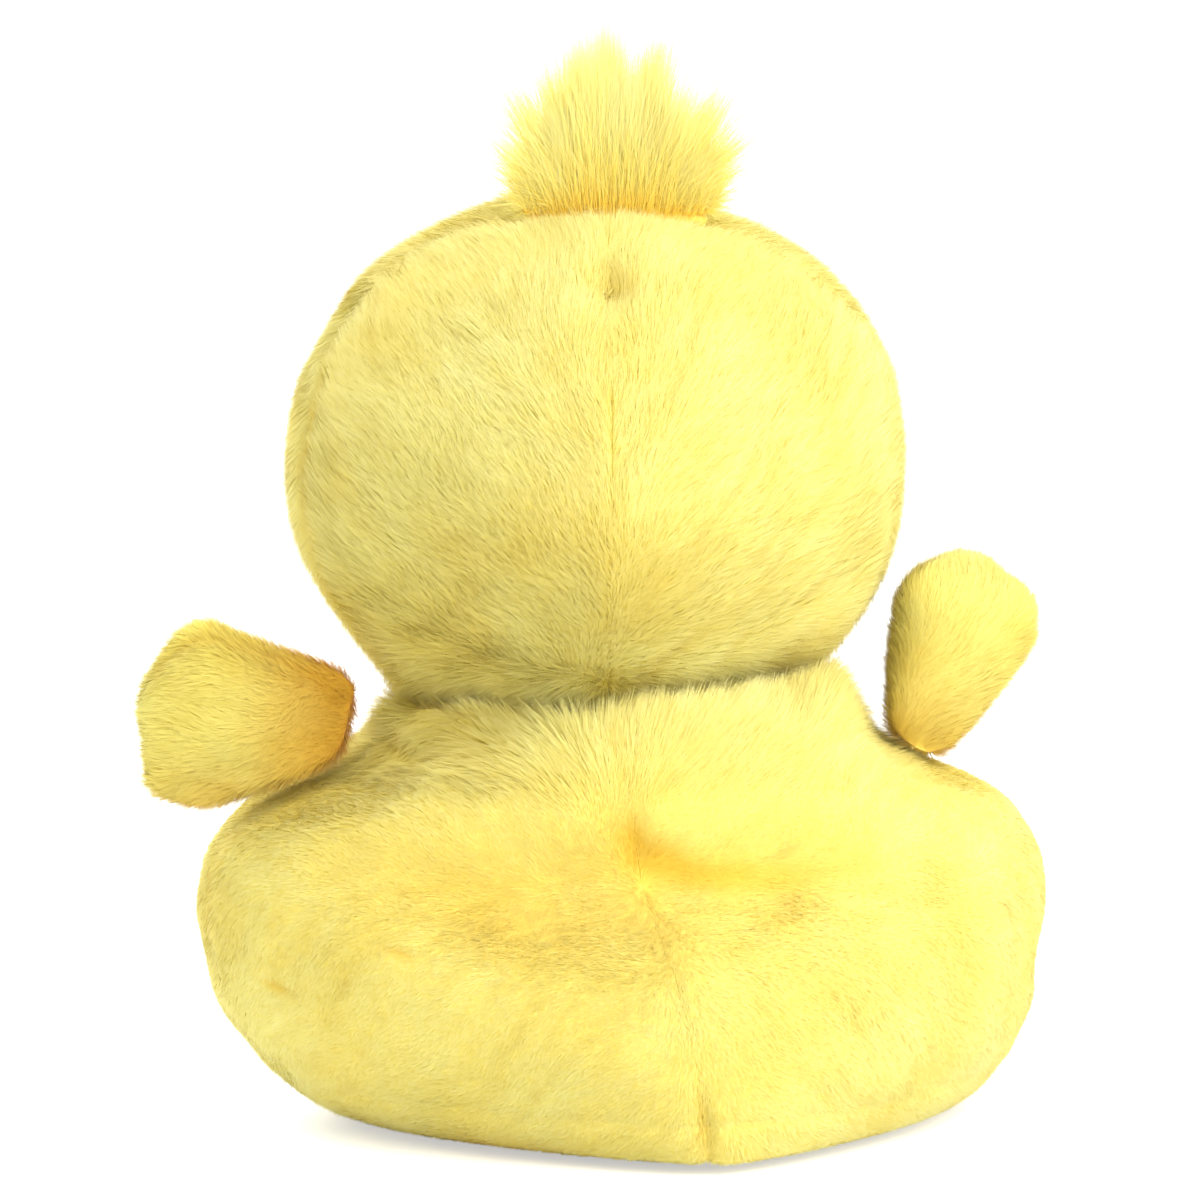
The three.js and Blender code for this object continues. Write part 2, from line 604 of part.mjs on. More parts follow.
function washer(side, name) {
  const bore = STEM_RADIUS + STEM_CLEARANCE;
  const profile = [
    [bore, -WASHER_THICKNESS - WASHER_HUB_HEIGHT],
    [WASHER_HUB, -WASHER_THICKNESS - WASHER_HUB_HEIGHT],
    [WASHER_HUB, -WASHER_THICKNESS],
    [WASHER_RADIUS, -WASHER_THICKNESS],
    [WASHER_RADIUS, 0],
    [bore, 0],
    [bore, -WASHER_THICKNESS - WASHER_HUB_HEIGHT],
  ].map(([x, y]) => new THREE.Vector2(x, y));
  const turned = new THREE.LatheGeometry(profile, SMALL_SIDES).rotateX(quarterTurn);
  const mesh = piece(name, solidOf(turned.translate(0, 0, -washerDepth)), liningWhite, 0.4);
  mesh.applyMatrix4(eyeFrame(side));
  return mesh;
}

// The crest: locks of pile that fan out of a rolled edge.
const lockLengthShares = [[0, 0.78], [0.25, 0.88], [0.45, 1], [0.7, 0.92], [1, 0.84]];
const lockWidthShares = [[0, 0.8], [0.3, 1], [0.65, 0.75], [0.88, 0.36]];

function lock(length) {
  const rings = lockWidthShares.map(([along, across]) => ({
    height: along * length,
    half: across * LOCK_RADIUS,
    back: across * LOCK_RADIUS,
    front: across * LOCK_RADIUS,
  }));
  return loft(rings, [[0, 0, 0], [0, 0, length]], LOCK_SIDES);
}

function crest() {
  const bead = new THREE.CylinderGeometry(CREST_BEAD_RADIUS, CREST_BEAD_RADIUS, CREST_SPAN, SMALL_SIDES);
  const lengthAt = curveThrough(lockLengthShares);
  const outermost = CREST_SPAN / 2 - LOCK_RADIUS;
  const strip = block(
    new THREE.Vector3(-outermost, -CREST_STRIP_THICKNESS / 2, 0),
    new THREE.Vector3(outermost, CREST_STRIP_THICKNESS / 2, CREST_STRIP_HEIGHT),
  );
  let tuft = solidOf(bead.rotateZ(quarterTurn)).add(strip);
  for (let i = 0; i < LOCK_COUNT; i++) {
    const share = i / (LOCK_COUNT - 1);
    const aside = 2 * share - 1;
    const length = lengthAt(share) * CREST_HEIGHT - 2 * CREST_BEAD_RADIUS;
    const stagger = i % 2 ? LOCK_STAGGER : -LOCK_STAGGER;
    const shape = lock(length).rotateX(stagger).rotateY(aside * LOCK_FAN);
    shape.translate(aside * (outermost - LOCK_RADIUS / 2), 0, 2 * CREST_BEAD_RADIUS);
    tuft = tuft.add(solidOf(shape));
  }
  const mesh = piece("crest", tuft, furYellow);
  mesh.applyMatrix4(crestFrame());
  return mesh;
}

// A wing about its hinge, pointing along +X

const wingWidthShares = [
  [0, 0.34], [0.05, 0.57], [0.14, 0.75], [0.26, 0.85], [0.42, 0.92], [0.6, 0.985], [0.74, 1],
  [0.87, 0.86], [0.95, 0.58], [1, 0.26],
];
const wingThicknessShares = [
  [0, 0.4], [0.05, 0.55], [0.14, 0.72], [0.3, 0.88], [0.5, 1], [0.7, 0.97], [0.85, 0.78], [0.95, 0.52],
  [1, 0.28],
];
const wingBowShare = 0.09; // of its length, how far the wing's tip curves up

function wingForm(distance, rings, sides) {
  const widthAt = curveThrough(wingWidthShares);
  const thicknessAt = curveThrough(wingThicknessShares);
  const sections = Array.from({ length: rings }, (_, i) => {
    const share = (1 - Math.cos((halfTurn * i) / (rings - 1))) / 2;
    const thick = (thicknessAt(share) * WING_THICKNESS) / 2;
    return {
      height: share * WING_LENGTH - WING_ROOT_RADIUS,
      half: (widthAt(share) * WING_WIDTH) / 2,
      back: thick,
      front: thick,
      shift: -wingBowShare * WING_LENGTH * share ** 2,
    };
  });
  const tip = -wingBowShare * WING_LENGTH;
  const ends = [[0, 0, -WING_ROOT_RADIUS], [tip, 0, WING_LENGTH - WING_ROOT_RADIUS]];
  return solidOf(loft(...inset(sections, ends, distance), sides).rotateY(quarterTurn));
}

const wingHingeHeight = BODY_HEIGHT - WING_DROP;
const shoulderSection = bodySection(wingHingeHeight);
const wingHinge = new THREE.Vector3(
  shoulderSection.half * Math.sqrt(1 - ((WING_SETBACK - WING_THICKNESS / 2) / shoulderSection.back) ** 2) +
    WING_ROOT_RADIUS +
    SWING_GAP,
  WING_SETBACK,
  wingHingeHeight,
);

function shoulderPlace(side) {
  const place = new THREE.Matrix4().makeTranslation(side * wingHinge.x, wingHinge.y, wingHinge.z);
  return place.multiply(new THREE.Matrix4().makeRotationZ(side > 0 ? 0 : halfTurn));
}

// What is left of a limb's form once its neighbours have pressed into it in each of the places given.
function pressed(form, neighbours, places) {
  return places.reduce((left, place) => left.subtract(moved(neighbours, place.clone().invert())), form);
}

function wing({ name, side, lift, highest, twist }) {
  const shoulder = shoulderPlace(side);
  const placeAt = (angle) =>
    shoulder
      .clone()
      .multiply(new THREE.Matrix4().makeRotationY(-angle))
      .multiply(new THREE.Matrix4().makeRotationX(twist));
  const swept = Array.from({ length: WING_STOPS }, (_, i) =>
    placeAt(THREE.MathUtils.lerp(LOWEST_LIFT, highest, i / (WING_STOPS - 1))),
  );
  const form = (distance, rings, sides) => {
    const margin = SWING_GAP + distance;
    const besideBody = pressed(wingForm(distance, rings, sides), bodyForm(-margin), swept);
    return pressed(besideBody, headSweep(margin), [placeAt(highest)]);
  };
  const core = form(WING_CLOTH, LIMB_CORE_RINGS, LIMB_CORE_SIDES);
  const skin = form(0, LIMB_RINGS, LIMB_SIDES).subtract(core);
  const behind = slab(skin, "y", SEAM_GAP / 2, Infinity);
  const ahead = slab(skin, "y", -Infinity, -SEAM_GAP / 2);
  const arm = new THREE.Group();
  arm.applyMatrix4(placeAt(lift));
  arm.add(
    piece(name + "_back_panel", side > 0 ? behind : ahead, furYellow),
    piece(name + "_front_panel", side > 0 ? ahead : behind, furYellow),
    piece(name + "_fill", form(WING_CLOTH + FILL_GAP, LIMB_CORE_RINGS, LIMB_CORE_SIDES), fibreWhite),
  );
  return arm;
}

// A foot about the hinge at its heel, pointing along -Y

const footWidthShares = [
  [0, 0.42], [0.08, 0.5], [0.2, 0.56], [0.4, 0.68], [0.6, 0.84], [0.78, 0.97], [0.9, 1], [0.97, 0.86], [1, 0.6],
];
const footThicknessShares = [
  [0, 0.55], [0.08, 0.82], [0.17, 1], [0.4, 1], [0.6, 0.94], [0.78, 0.82], [0.9, 0.62], [0.97, 0.42],
  [1, 0.22],
];

// Draws the toe end back between the toes.
function notchToes(geometry) {
  const place = geometry.attributes.position;
  for (let i = 0; i < place.count; i++) {
    const ahead = THREE.MathUtils.smoothstep(place.getZ(i) / FOOT_LENGTH, TOE_START_SHARE, TOE_FULL_SHARE);
    const across = (place.getX(i) * 2) / FOOT_WIDTH;
    const toe = (1 - Math.cos(halfTurn * (TOE_COUNT * across + 1))) / 2;
    place.setZ(i, place.getZ(i) - ahead * TOE_DEPTH * (1 - toe + across ** 2));
  }
  return geometry;
}

function footForm(distance, rings, sides) {
  const widthAt = curveThrough(footWidthShares);
  const thicknessAt = curveThrough(footThicknessShares);
  const heel = -FOOT_THICKNESS / 2;
  const sections = Array.from({ length: rings }, (_, i) => {
    const share = (1 - Math.cos((halfTurn * i) / (rings - 1))) / 2;
    const thick = (thicknessAt(share) * FOOT_THICKNESS) / 2;
    return {
      height: heel + share * FOOT_LENGTH,
      half: (widthAt(share) * FOOT_WIDTH) / 2,
      back: thick,
      front: thick,
    };
  });
  const ends = [[0, 0, heel], [0, 0, heel + FOOT_LENGTH]];
  return solidOf(notchToes(loft(...inset(sections, ends, distance), sides)).rotateX(quarterTurn));
}

const heelSection = bodySection(FOOT_THICKNESS / 2);
const footHinge = new THREE.Vector3(
  FOOT_SPREAD,
  -heelSection.front * Math.sqrt(1 - (FOOT_SPREAD / heelSection.half) ** 2) - FOOT_THICKNESS / 2 - SWING_GAP,
  FOOT_THICKNESS / 2,
);

function foot(side, name) {
  const ankle = new THREE.Group();
  ankle.position.set(side * footHinge.x, footHinge.y, footHinge.z);
  ankle.rotation.z = side * FOOT_SPLAY;
  ankle.updateMatrix();
  const lifted = ankle.matrix.clone().multiply(new THREE.Matrix4().makeRotationX(-FOOT_FLEX));
  const shape = (form, distance) =>
    pressed(form, bodyForm(-SWING_GAP - distance), [ankle.matrix, lifted]);
  const inner = footForm(FELT_CLOTH, LIMB_CORE_RINGS, FOOT_SIDES);
  const skin = shape(footForm(0, LIMB_RINGS, FOOT_SIDES), 0).subtract(shape(inner, FELT_CLOTH));
  ankle.add(
    piece(name + "_top_panel", slab(skin, "z", SEAM_GAP / 2, Infinity), feltOrange),
    piece(name + "_sole_panel", slab(skin, "z", -Infinity, -SEAM_GAP / 2), feltOrange),
    piece(name + "_fill", shape(shrunk(inner, FILL_GAP), FELT_CLOTH + FILL_GAP), fibreWhite),
  );
  return ankle;
}

// Assembly

const head = new THREE.Group();
head.position.copy(headCentre);
head.rotation.z = HEAD_TURN;
head.add(...headPanels(), headFill(), ...bill(), crest());
for (const [side, name] of [[1, "left"], [-1, "right"]]) {
  head.add(eye(side, name + "_eye"), washer(side, name + "_eye_washer"));
}

duck.add(...bodyPanels(), ...bodyInside(), neckFill(), head);
duck.add(
  wing({ name: "left_wing", side: 1, lift: LEFT_WING_LIFT, highest: LEFT_HIGHEST_LIFT, twist: 0 }),
  wing({
    name: "right_wing",
    side: -1,
    lift: RIGHT_WING_LIFT,
    highest: RIGHT_HIGHEST_LIFT,
    twist: RIGHT_WING_TWIST,
  }),
);
duck.add(foot(1, "left_foot"), foot(-1, "right_foot"));

export default duck;
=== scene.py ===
"""Looks of a palm-sized plush duck: panels of fur cloth over stuffed forms, an orange bill and orange feet.

Forms are worked out in millimetres in the frame of the CAD model and written to meshes in metres.
"""

import json
import math
from collections import namedtuple

import bmesh
import bpy
import numpy as np
from mathutils import Matrix, Vector


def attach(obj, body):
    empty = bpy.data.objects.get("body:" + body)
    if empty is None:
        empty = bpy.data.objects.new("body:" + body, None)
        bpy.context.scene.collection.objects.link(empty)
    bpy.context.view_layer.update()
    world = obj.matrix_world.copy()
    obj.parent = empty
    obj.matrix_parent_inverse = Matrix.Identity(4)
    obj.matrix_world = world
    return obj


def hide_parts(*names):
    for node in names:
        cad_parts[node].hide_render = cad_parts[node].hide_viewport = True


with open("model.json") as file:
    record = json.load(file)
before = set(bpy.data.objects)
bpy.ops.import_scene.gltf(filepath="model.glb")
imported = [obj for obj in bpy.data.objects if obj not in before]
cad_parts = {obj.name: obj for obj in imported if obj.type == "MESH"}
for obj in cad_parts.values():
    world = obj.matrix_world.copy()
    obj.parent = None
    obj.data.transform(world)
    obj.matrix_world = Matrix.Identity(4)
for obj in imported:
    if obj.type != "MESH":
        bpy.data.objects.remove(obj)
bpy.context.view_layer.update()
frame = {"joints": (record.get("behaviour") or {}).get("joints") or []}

MM = 0.001
UP = np.array([0.0, 0.0, 1.0])
BEHIND = np.array([0.0, 1.0, 0.0])
LEFT = np.array([1.0, 0.0, 0.0])
WHITE = (1, 1, 1)

# Sizes, in millimetres, of the forms that the solids have
BODY_WIDTH = 96.8
RUMP_DEPTH = 42
BELLY_DEPTH = 37
BODY_HEIGHT = 52
RUMP_POINT_SHARE = 0.52
SEAT_DRIFT = 2.8
SEAT_SEAM_HEIGHT = 6
SIDE_SEAM_SETBACK = 2
BACK_SEAM_AT_SEAT = -1.6
BACK_SEAM_LEAN = math.radians(8.9)
BAG_HEIGHT = 17
HEAD_WIDTH = 69
HEAD_HEIGHT = 60.6
CROWN_FULLNESS_SHARE = 0.95
CHEEK_FULLNESS_SHARE = 0.78
CROWN_SEAM_SETBACK = 8.5
NOD_RANGE = math.radians(12)
SWING_GAP = 0.4
WING_LENGTH = 26.2
WING_WIDTH = 20.6
WING_THICKNESS = 12
WING_ROOT_RADIUS = 7.4
WING_BOW_SHARE = 0.09
LOWEST_LIFT = math.radians(5)
WING_SEAM_LEAN = math.radians(12)
FOOT_LENGTH = 20
FOOT_WIDTH = 21
FOOT_THICKNESS = 9
FOOT_SPLAY = math.radians(14)
FOOT_FLEX = math.radians(45)
TOE_COUNT = 3
TOE_DEPTH = 2.4
TOE_START_SHARE = 0.35
TOE_FULL_SHARE = 0.78
BILL_WIDTH = 21
BILL_LENGTH = 13
BILL_ROOT = 6
BILL_THICKNESS = 9.5
BILL_DROP = 5
EYE_RADIUS = 3.7
EYE_DOME = 2.9
EYE_SINK = 0.8
EYE_SPREAD = math.radians(31)
EYE_POLAR = math.radians(81)
STEM_RADIUS = 1.3
STEM_LENGTH = 11
RIB_PITCH = 1.2
RIB_COUNT = 4
RIB_DEPTH = 0.3
WASHER_DEPTH = 5.17
CREST_SPAN = 21
CREST_ASIDE = 1.6
CREST_BEAD_RADIUS = 1.8
CREST_SETBACK = math.radians(16.5)
CREST_LEAN = math.radians(-3)
TACK_HEIGHT = 20

# Cloth, stuffing and stitches, in millimetres
NAP_DEPTH = 1.2
LIMB_NAP_DEPTH = 0.6
FELT_NAP_DEPTH = 0.3
CLOTH_THICKNESS = 0.35
FILL_DEPTH = 6.5
LIMB_FILL_DEPTH = 4
FELT_FILL_DEPTH = 1.9
BAG_GAP = 0.8
PELLET_RADIUS = 1.5
STITCH_REACH = 0.8
THREAD_RADIUS = 0.17
LIP_HEIGHT = 42

# How pile grows: its height and length, strands to the square millimetre, their width, how far they stray,
# and the size and strength of the locks that they are drawn into
Pile = namedtuple("Pile", "height length density width stray lock pull")
BODY_PILE = Pile(0.9, 2.6, 56, 0.075, 0.1, 1.5, 0.18)
WING_PILE = Pile(0.8, 2.2, 60, 0.07, 0.1, 1.2, 0.18)
FUZZ = Pile(0.35, 0.5, 40, 0.05, 0.3, 0.6, 0.1)
STREAK_LENGTH = 6
STREAK_BREADTH = 2.4
CREST_STRANDS = 42_000
CREST_STRAND_WIDTH = 0.05
MOST_FACES = 198_000
MAP_CELLS = 12

# Marks on the body's back, each a path of (across, up, strength) and its breadth. The crease, valley and
# ledge are pressed in and get painted shade. Locks of pile stand over the neck along the tufted edge, and the
# pile of the neck's band gets painted shade, as little light falls into it
CREASE = ([(6.9, 37.8, 0.4), (3.8, 33, 1), (-2, 30.8, 1), (-12, 29.8, 0.75), (-21, 30.4, 0.25)], 2.2)
VALLEY = ([(32, 31, 0.3), (20, 27, 1), (6, 28, 1)], 5.5)
LEDGE = ([(42, 38.5, 0.5), (30, 43, 1), (19, 46.8, 1), (9, 50, 0.9)], 3.3)
TUFTED_EDGE = ([(39, 34.5, 0.6), (27, 39, 1), (17, 42.5, 1), (8, 46, 0.7)], 2.6)
NECK_BAND = ([(40, 41.5, 0.7), (30, 45.5, 1), (20, 49, 1), (10, 51, 0.8)], 3.2)
NICKS = [(29.7, 23.3), (41, 18.2)]

# The crest's locks: where each is rooted across its edge, where its tip is across and up from the edge's
# middle, and how full it is
CREST_LOCKS = [
    (0.8, 1.3, 20.6, 7), (-2, -4.6, 19.6, 4.5), (2.8, 4.4, 19.4, 5.5), (-0.5, -1.3, 15.6, 4),
    (4, 7.6, 16.4, 2.5), (-3.6, -7.6, 15.2, 2.2), (5.6, 12, 14.6, 1.7), (-5.4, -12.2, 14.6, 1.7),
    (7, 13.6, 9.4, 1.2), (-7, -14.4, 9.8, 1.3), (7.6, 12.4, 6, 1), (-7.6, -12.8, 6.2, 1),
    (-8.4, -11.4, 2.6, 1), (8.4, 11.2, 3.2, 1), (0, 0.3, 14, 8), (4.4, 7.2, 12.2, 4.5),
    (-4.4, -7.4, 11.6, 4.5), (2, 3, 11, 7), (-2, -3.2, 11, 7), (6.2, 8.6, 7, 3), (-6.2, -9, 7, 3),
    (8, 9, 4, 2.4), (-8, -9.2, 4, 2.4),
]

body_width_shares = [
    [0, 0.7], [0.04, 0.785], [0.08, 0.838], [0.12, 0.876], [0.21, 0.937], [0.29, 0.965], [0.385, 0.987],
    [0.48, 1], [0.575, 0.985], [0.635, 0.95], [0.675, 0.915], [0.715, 0.855], [0.755, 0.76], [0.79, 0.66],
    [0.83, 0.585], [0.88, 0.545], [1, 0.53],
]
rump_depth_shares = [
    [0, 0.94], [0.04, 0.97], [0.12, 1], [0.22, 0.995], [0.31, 0.965], [0.43, 0.88], [0.54, 0.77],
    [0.62, 0.71], [0.69, 0.68], [0.76, 0.65], [0.84, 0.6], [0.92, 0.54], [1, 0.47],
]
belly_depth_shares = [
    [0, 0.74], [0.04, 0.83], [0.12, 0.94], [0.22, 0.99], [0.34, 1], [0.47, 0.985], [0.6, 0.95],
    [0.72, 0.91], [0.84, 0.88], [0.92, 0.86], [1, 0.84],
]
rump_point_shares = [[0, 1], [0.12, 0.8], [0.3, 0.5], [0.5, 0.28], [0.7, 0.1], [1, 0]]
seat_drift_shares = [[0, 1], [0.15, 0.5], [0.33, 0.05], [0.5, 0], [1, 0]]
wing_width_shares = [
    [0, 0.6], [0.05, 0.74], [0.14, 0.83], [0.26, 0.88], [0.42, 0.93], [0.6, 0.985], [0.74, 1], [0.87, 0.86],
    [0.95, 0.58], [1, 0.26],
]
wing_thickness_shares = [
    [0, 0.4], [0.05, 0.55], [0.14, 0.72], [0.3, 0.88], [0.5, 1], [0.7, 0.97], [0.85, 0.78], [0.95, 0.52],
    [1, 0.28],
]
foot_width_shares = [
    [0, 0.42], [0.08, 0.5], [0.2, 0.56], [0.4, 0.68], [0.6, 0.84], [0.78, 0.97], [0.9, 1], [0.97, 0.86],
    [1, 0.6],
]
foot_thickness_shares = [
    [0, 0.55], [0.08, 0.82], [0.17, 1], [0.4, 1], [0.6, 0.94], [0.78, 0.82], [0.9, 0.62], [0.97, 0.42],
    [1, 0.22],
]
bill_width_shares = [[0, 0.8], [0.25, 0.9], [0.5, 0.98], [0.7, 1], [0.85, 0.86], [0.95, 0.55], [1, 0.25]]
bill_thickness_shares = [[0, 1], [0.25, 1], [0.5, 0.86], [0.7, 0.7], [0.85, 0.54], [0.95, 0.36], [1, 0.2]]

# Points are arrays with x, y and z last, and places are 4 x 4 matrices in millimetres


def coordinates(points):
    return np.moveaxis(points, -1, 0)


def xyz(x, y, z):
    return np.stack(np.broadcast_arrays(x, y, z), axis=-1)


def unit(vectors):
    return vectors / np.maximum(np.linalg.norm(vectors, axis=-1, keepdims=True), 1e-9)


def full_turn(count):
    return np.linspace(0, 2 * math.pi, count, endpoint=False)


def shift(x, y, z):
    return np.array(Matrix.Translation((x, y, z)))


def turn(axis, angle):
    return np.array(Matrix.Rotation(angle, 4, axis))


def placed(points, place):
    return points @ place[:3, :3].T + place[:3, 3]


def moved_at(place, rule, points, margin):
    """Points of a form moved by a rule of the duck's frame while the form stands at a place."""
    return placed(rule(placed(points, place), margin), np.linalg.inv(place))


joint = {j["name"]: j for j in frame["joints"]}


def joint_place(name):
    return np.array(joint[name]["pos_m"]) / MM


head_centre = joint_place("head_turn")
nod_axis = joint["head_nod"]["axis"]
head_place = shift(*head_centre) @ turn("Z", math.atan2(nod_axis[1], nod_axis[0]))

# Curves and noise


def curve_through(shares):
    """A smooth curve through [share along, share across] pairs, as a function of the share along."""
    points = np.array(shares, float)
    padded = np.vstack([2 * points[0] - points[1], points, 2 * points[-1] - points[-2]])
    t = np.linspace(0, 1, 13)[:-1, None]
    runs = []
    for a, b, c, d in zip(padded, padded[1:], padded[2:], padded[3:]):
        cube = 3 * b - a - 3 * c + d
        runs.append(b + t / 2 * (c - a) + t**2 * (a - 2.5 * b + 2 * c - d / 2) + t**3 / 2 * cube)
    line = np.vstack([*runs, points[-1:]])
    return lambda along: np.minimum(1, np.interp(along, line[:, 0], line[:, 1]))


def smooth_step(low, high, value):
    share = np.clip((value - low) / (high - low), 0, 1)
    return share * share * (3 - 2 * share)


def bell(*away):
    """1 where every distance is 0, fading as any of them grows past 1."""
    return np.exp(-sum(distance**2 for distance in away))


def ripple(points, wavelength, seed, waves=7):
    """Smooth noise between about -1 and 1 at points in millimetres."""
    rng = np.random.default_rng(seed)
    total = np.zeros(points.shape[:-1])
    for _ in range(waves):
        wave = rng.normal(size=3)
        wave *= 2 * math.pi / (wavelength * rng.uniform(0.7, 1.5) * np.linalg.norm(wave))
        total += np.sin(points @ wave + rng.uniform(0, 2 * math.pi))
    return total / (1.13 * math.sqrt(waves))


def along_path(across, up, path, breadth):
    """How strongly a mark is felt: its strength on its path, fading over its breadth."""
    felt = np.zeros(across.shape)
    for (x0, z0, s0), (x1, z1, s1) in zip(path, path[1:]):
        dx, dz = x1 - x0, z1 - z0
        share = np.clip(((across - x0) * dx + (up - z0) * dz) / (dx * dx + dz * dz), 0, 1)
        away = np.hypot(across - x0 - share * dx, up - z0 - share * dz)
        felt = np.maximum(felt, (s0 + share * (s1 - s0)) * bell(away / breadth))
    return felt


# Surfaces are grids of points, rows from one end to the other and columns round


def surface_normals(points):
    round_it = np.roll(points, -1, axis=1) - np.roll(points, 1, axis=1)
    normals = np.cross(round_it, np.gradient(points, axis=0))
    normals[0] = normals[1].mean(axis=0)
    normals[-1] = normals[-2].mean(axis=0)
    return unit(normals)


def moved_in(points, distance):
    return points - surface_normals(points) * distance


def smoothed(points, rounds):
    for _ in range(rounds):
        ring = (np.roll(points, 1, axis=1) + np.roll(points, -1, axis=1) + 2 * points) / 4
        inner = (ring[:-2] + ring[2:] + 2 * ring[1:-1]) / 4
        points = np.concatenate([points[:1], inner, points[-1:]])
    return points


def nap_grid(points, relief, depth):
    """The skin under the pile: a depth inside a form, and raised by its relief."""
    inset = moved_in(points, depth)
    return inset + surface_normals(inset) * relief(inset)[0][..., None]


def drawn_small(points, depth):
    """A thin form made smaller by a depth on each of its sides."""
    low, high = points.min(axis=(0, 1)), points.max(axis=(0, 1))
    middle = (low + high) / 2
    return middle + (points - middle) * (1 - 2 * depth / (high - low))


body_width_at = curve_through(body_width_shares)
rump_depth_at = curve_through(rump_depth_shares)
belly_depth_at = curve_through(belly_depth_shares)
rump_point_at = curve_through(rump_point_shares)
seat_drift_at = curve_through(seat_drift_shares)


def body_section(height):
    """Half the body's width at a height, its depth behind and in front, and how far it drifts aside."""
    share = np.clip(height / BODY_HEIGHT, 0, 1)
    half = body_width_at(share) * BODY_WIDTH / 2
    back = rump_depth_at(share) * RUMP_DEPTH
    front = belly_depth_at(share) * BELLY_DEPTH
    return half, back, front, -seat_drift_at(share) * SEAT_DRIFT


def body_grid(rows=150, columns=260):
    """The body's form, from the middle of the seat up to the middle of the top."""
    lid = rows // 6
    wall = rows - 2 * lid + 2
    rise = np.linspace(0, 1, lid)[:-1]
    spread = np.concatenate([rise, np.ones(wall), np.linspace(1, 0, lid)[1:]])[:, None]
    share = np.concatenate([np.zeros(lid - 1), np.linspace(0, 1, wall), np.ones(lid - 1)])[:, None]
    half, back, front, drift = body_section(share * BODY_HEIGHT)
    sine, cosine = np.sin(full_turn(columns)), np.cos(full_turn(columns))
    drawn = np.where(sine > 0, 1 - RUMP_POINT_SHARE * rump_point_at(share) * sine**2, 1)
    x = drift + half * drawn * cosine * spread
    y = np.where(sine > 0, back, front) * sine * spread
    return smoothed(xyz(x, y, share * BODY_HEIGHT), 2)


def head_radius(polar):
    fullness = np.where(polar < math.pi / 2, CROWN_FULLNESS_SHARE, CHEEK_FULLNESS_SHARE)
    return np.abs(np.sin(polar)) ** fullness * HEAD_WIDTH / 2


def head_grid(rows=130, columns=260):
    """The head's form about its own middle, from the chin up to the crown."""
    polar, angle = np.linspace(math.pi, 0, rows)[:, None], full_turn(columns)
    radius = head_radius(polar)
    return smoothed(xyz(radius * np.cos(angle), radius * np.sin(angle), HEAD_HEIGHT / 2 * np.cos(polar)), 2)


def head_surface(polar, round_it):
    """A point of the head's surface, an angle down from the crown and an angle round from the face."""
    radius = float(head_radius(polar))
    return [radius * math.sin(round_it), -radius * math.cos(round_it), HEAD_HEIGHT / 2 * math.cos(polar)]


crest_foot = head_surface(CREST_SETBACK, math.pi)


def nod_reach(direction):
    """How far out the head can reach in a direction, measured from straight down, as it nods."""
    up_to = np.minimum(direction + NOD_RANGE, math.pi / 2)
    down_to = np.maximum(direction - NOD_RANGE, math.pi / 2)
    nodded = np.where(direction < math.pi / 2, up_to, down_to)
    polar = np.arctan2(np.sin(nodded) * HEAD_HEIGHT, -np.cos(nodded) * HEAD_WIDTH)
    return np.hypot(head_radius(polar), np.cos(polar) * HEAD_HEIGHT / 2)


def beyond_head(points):
    """How far points are from the head's reach as it turns and nods, and the way straight out of it."""
    away = points - head_centre
    distance = np.linalg.norm(away, axis=-1)
    direction = np.arccos(np.clip(-away[..., 2] / np.maximum(distance, 1e-6), -1, 1))
    return distance - nod_reach(direction), unit(away)


def clear_of_head(points, margin):
    distance, out = beyond_head(points)
    return points + out * np.maximum(margin - distance, 0)[..., None]


def under_head(points, margin=0.2):
    """Points moved straight down until they clear the head's reach."""
    x, y, z = coordinates(points)
    direction = np.linspace(0, math.pi / 2, 200)
    reach = nod_reach(direction) + margin
    aside = np.hypot(x - head_centre[0], y - head_centre[1])
    highest = np.interp(aside, reach * np.sin(direction), head_centre[2] - reach * np.cos(direction))
    return xyz(x, y, np.where(aside < reach[-1], np.minimum(z, highest), z))


def clear_of_body(points, margin):
    """Points moved out level from the body's middle until they clear it."""
    x, y, z = coordinates(points)
    half, back, front, drift = body_section(z)
    x = x - drift
    inside = np.hypot(x / (half + margin), y / (np.where(y > 0, back, front) + margin))
    within = (inside < 1) & (z < BODY_HEIGHT)
    grow = np.where(within, 1 / np.maximum(inside, 1e-3), 1)
    return xyz(drift + x * grow, y * grow, z)


def tube_grid(width_shares, thickness_shares, length, width, thickness, rows=70, columns=110):
    """A flattened form along +X from 0 to its length: its width is along Z and its thickness along Y."""
    share = (1 - np.cos(np.linspace(0, math.pi, rows))) / 2
    half = curve_through(width_shares)(share) * width / 2
    thick = curve_through(thickness_shares)(share) * thickness / 2
    closing = np.array([0, 0.4, 0.75])
    ends = np.concatenate([closing, np.ones(rows), closing[::-1]])[:, None]
    share, half, thick = (np.pad(values, len(closing), "edge")[:, None] for values in (share, half, thick))
    angle = full_turn(columns)
    return smoothed(xyz(share * length, thick * ends * np.cos(angle), half * ends * np.sin(angle)), 3)


def laid_forward(points):
    """A form along +X turned to lie along -Y, flat side down."""
    x, y, z = coordinates(points)
    return xyz(-z, -x, y)
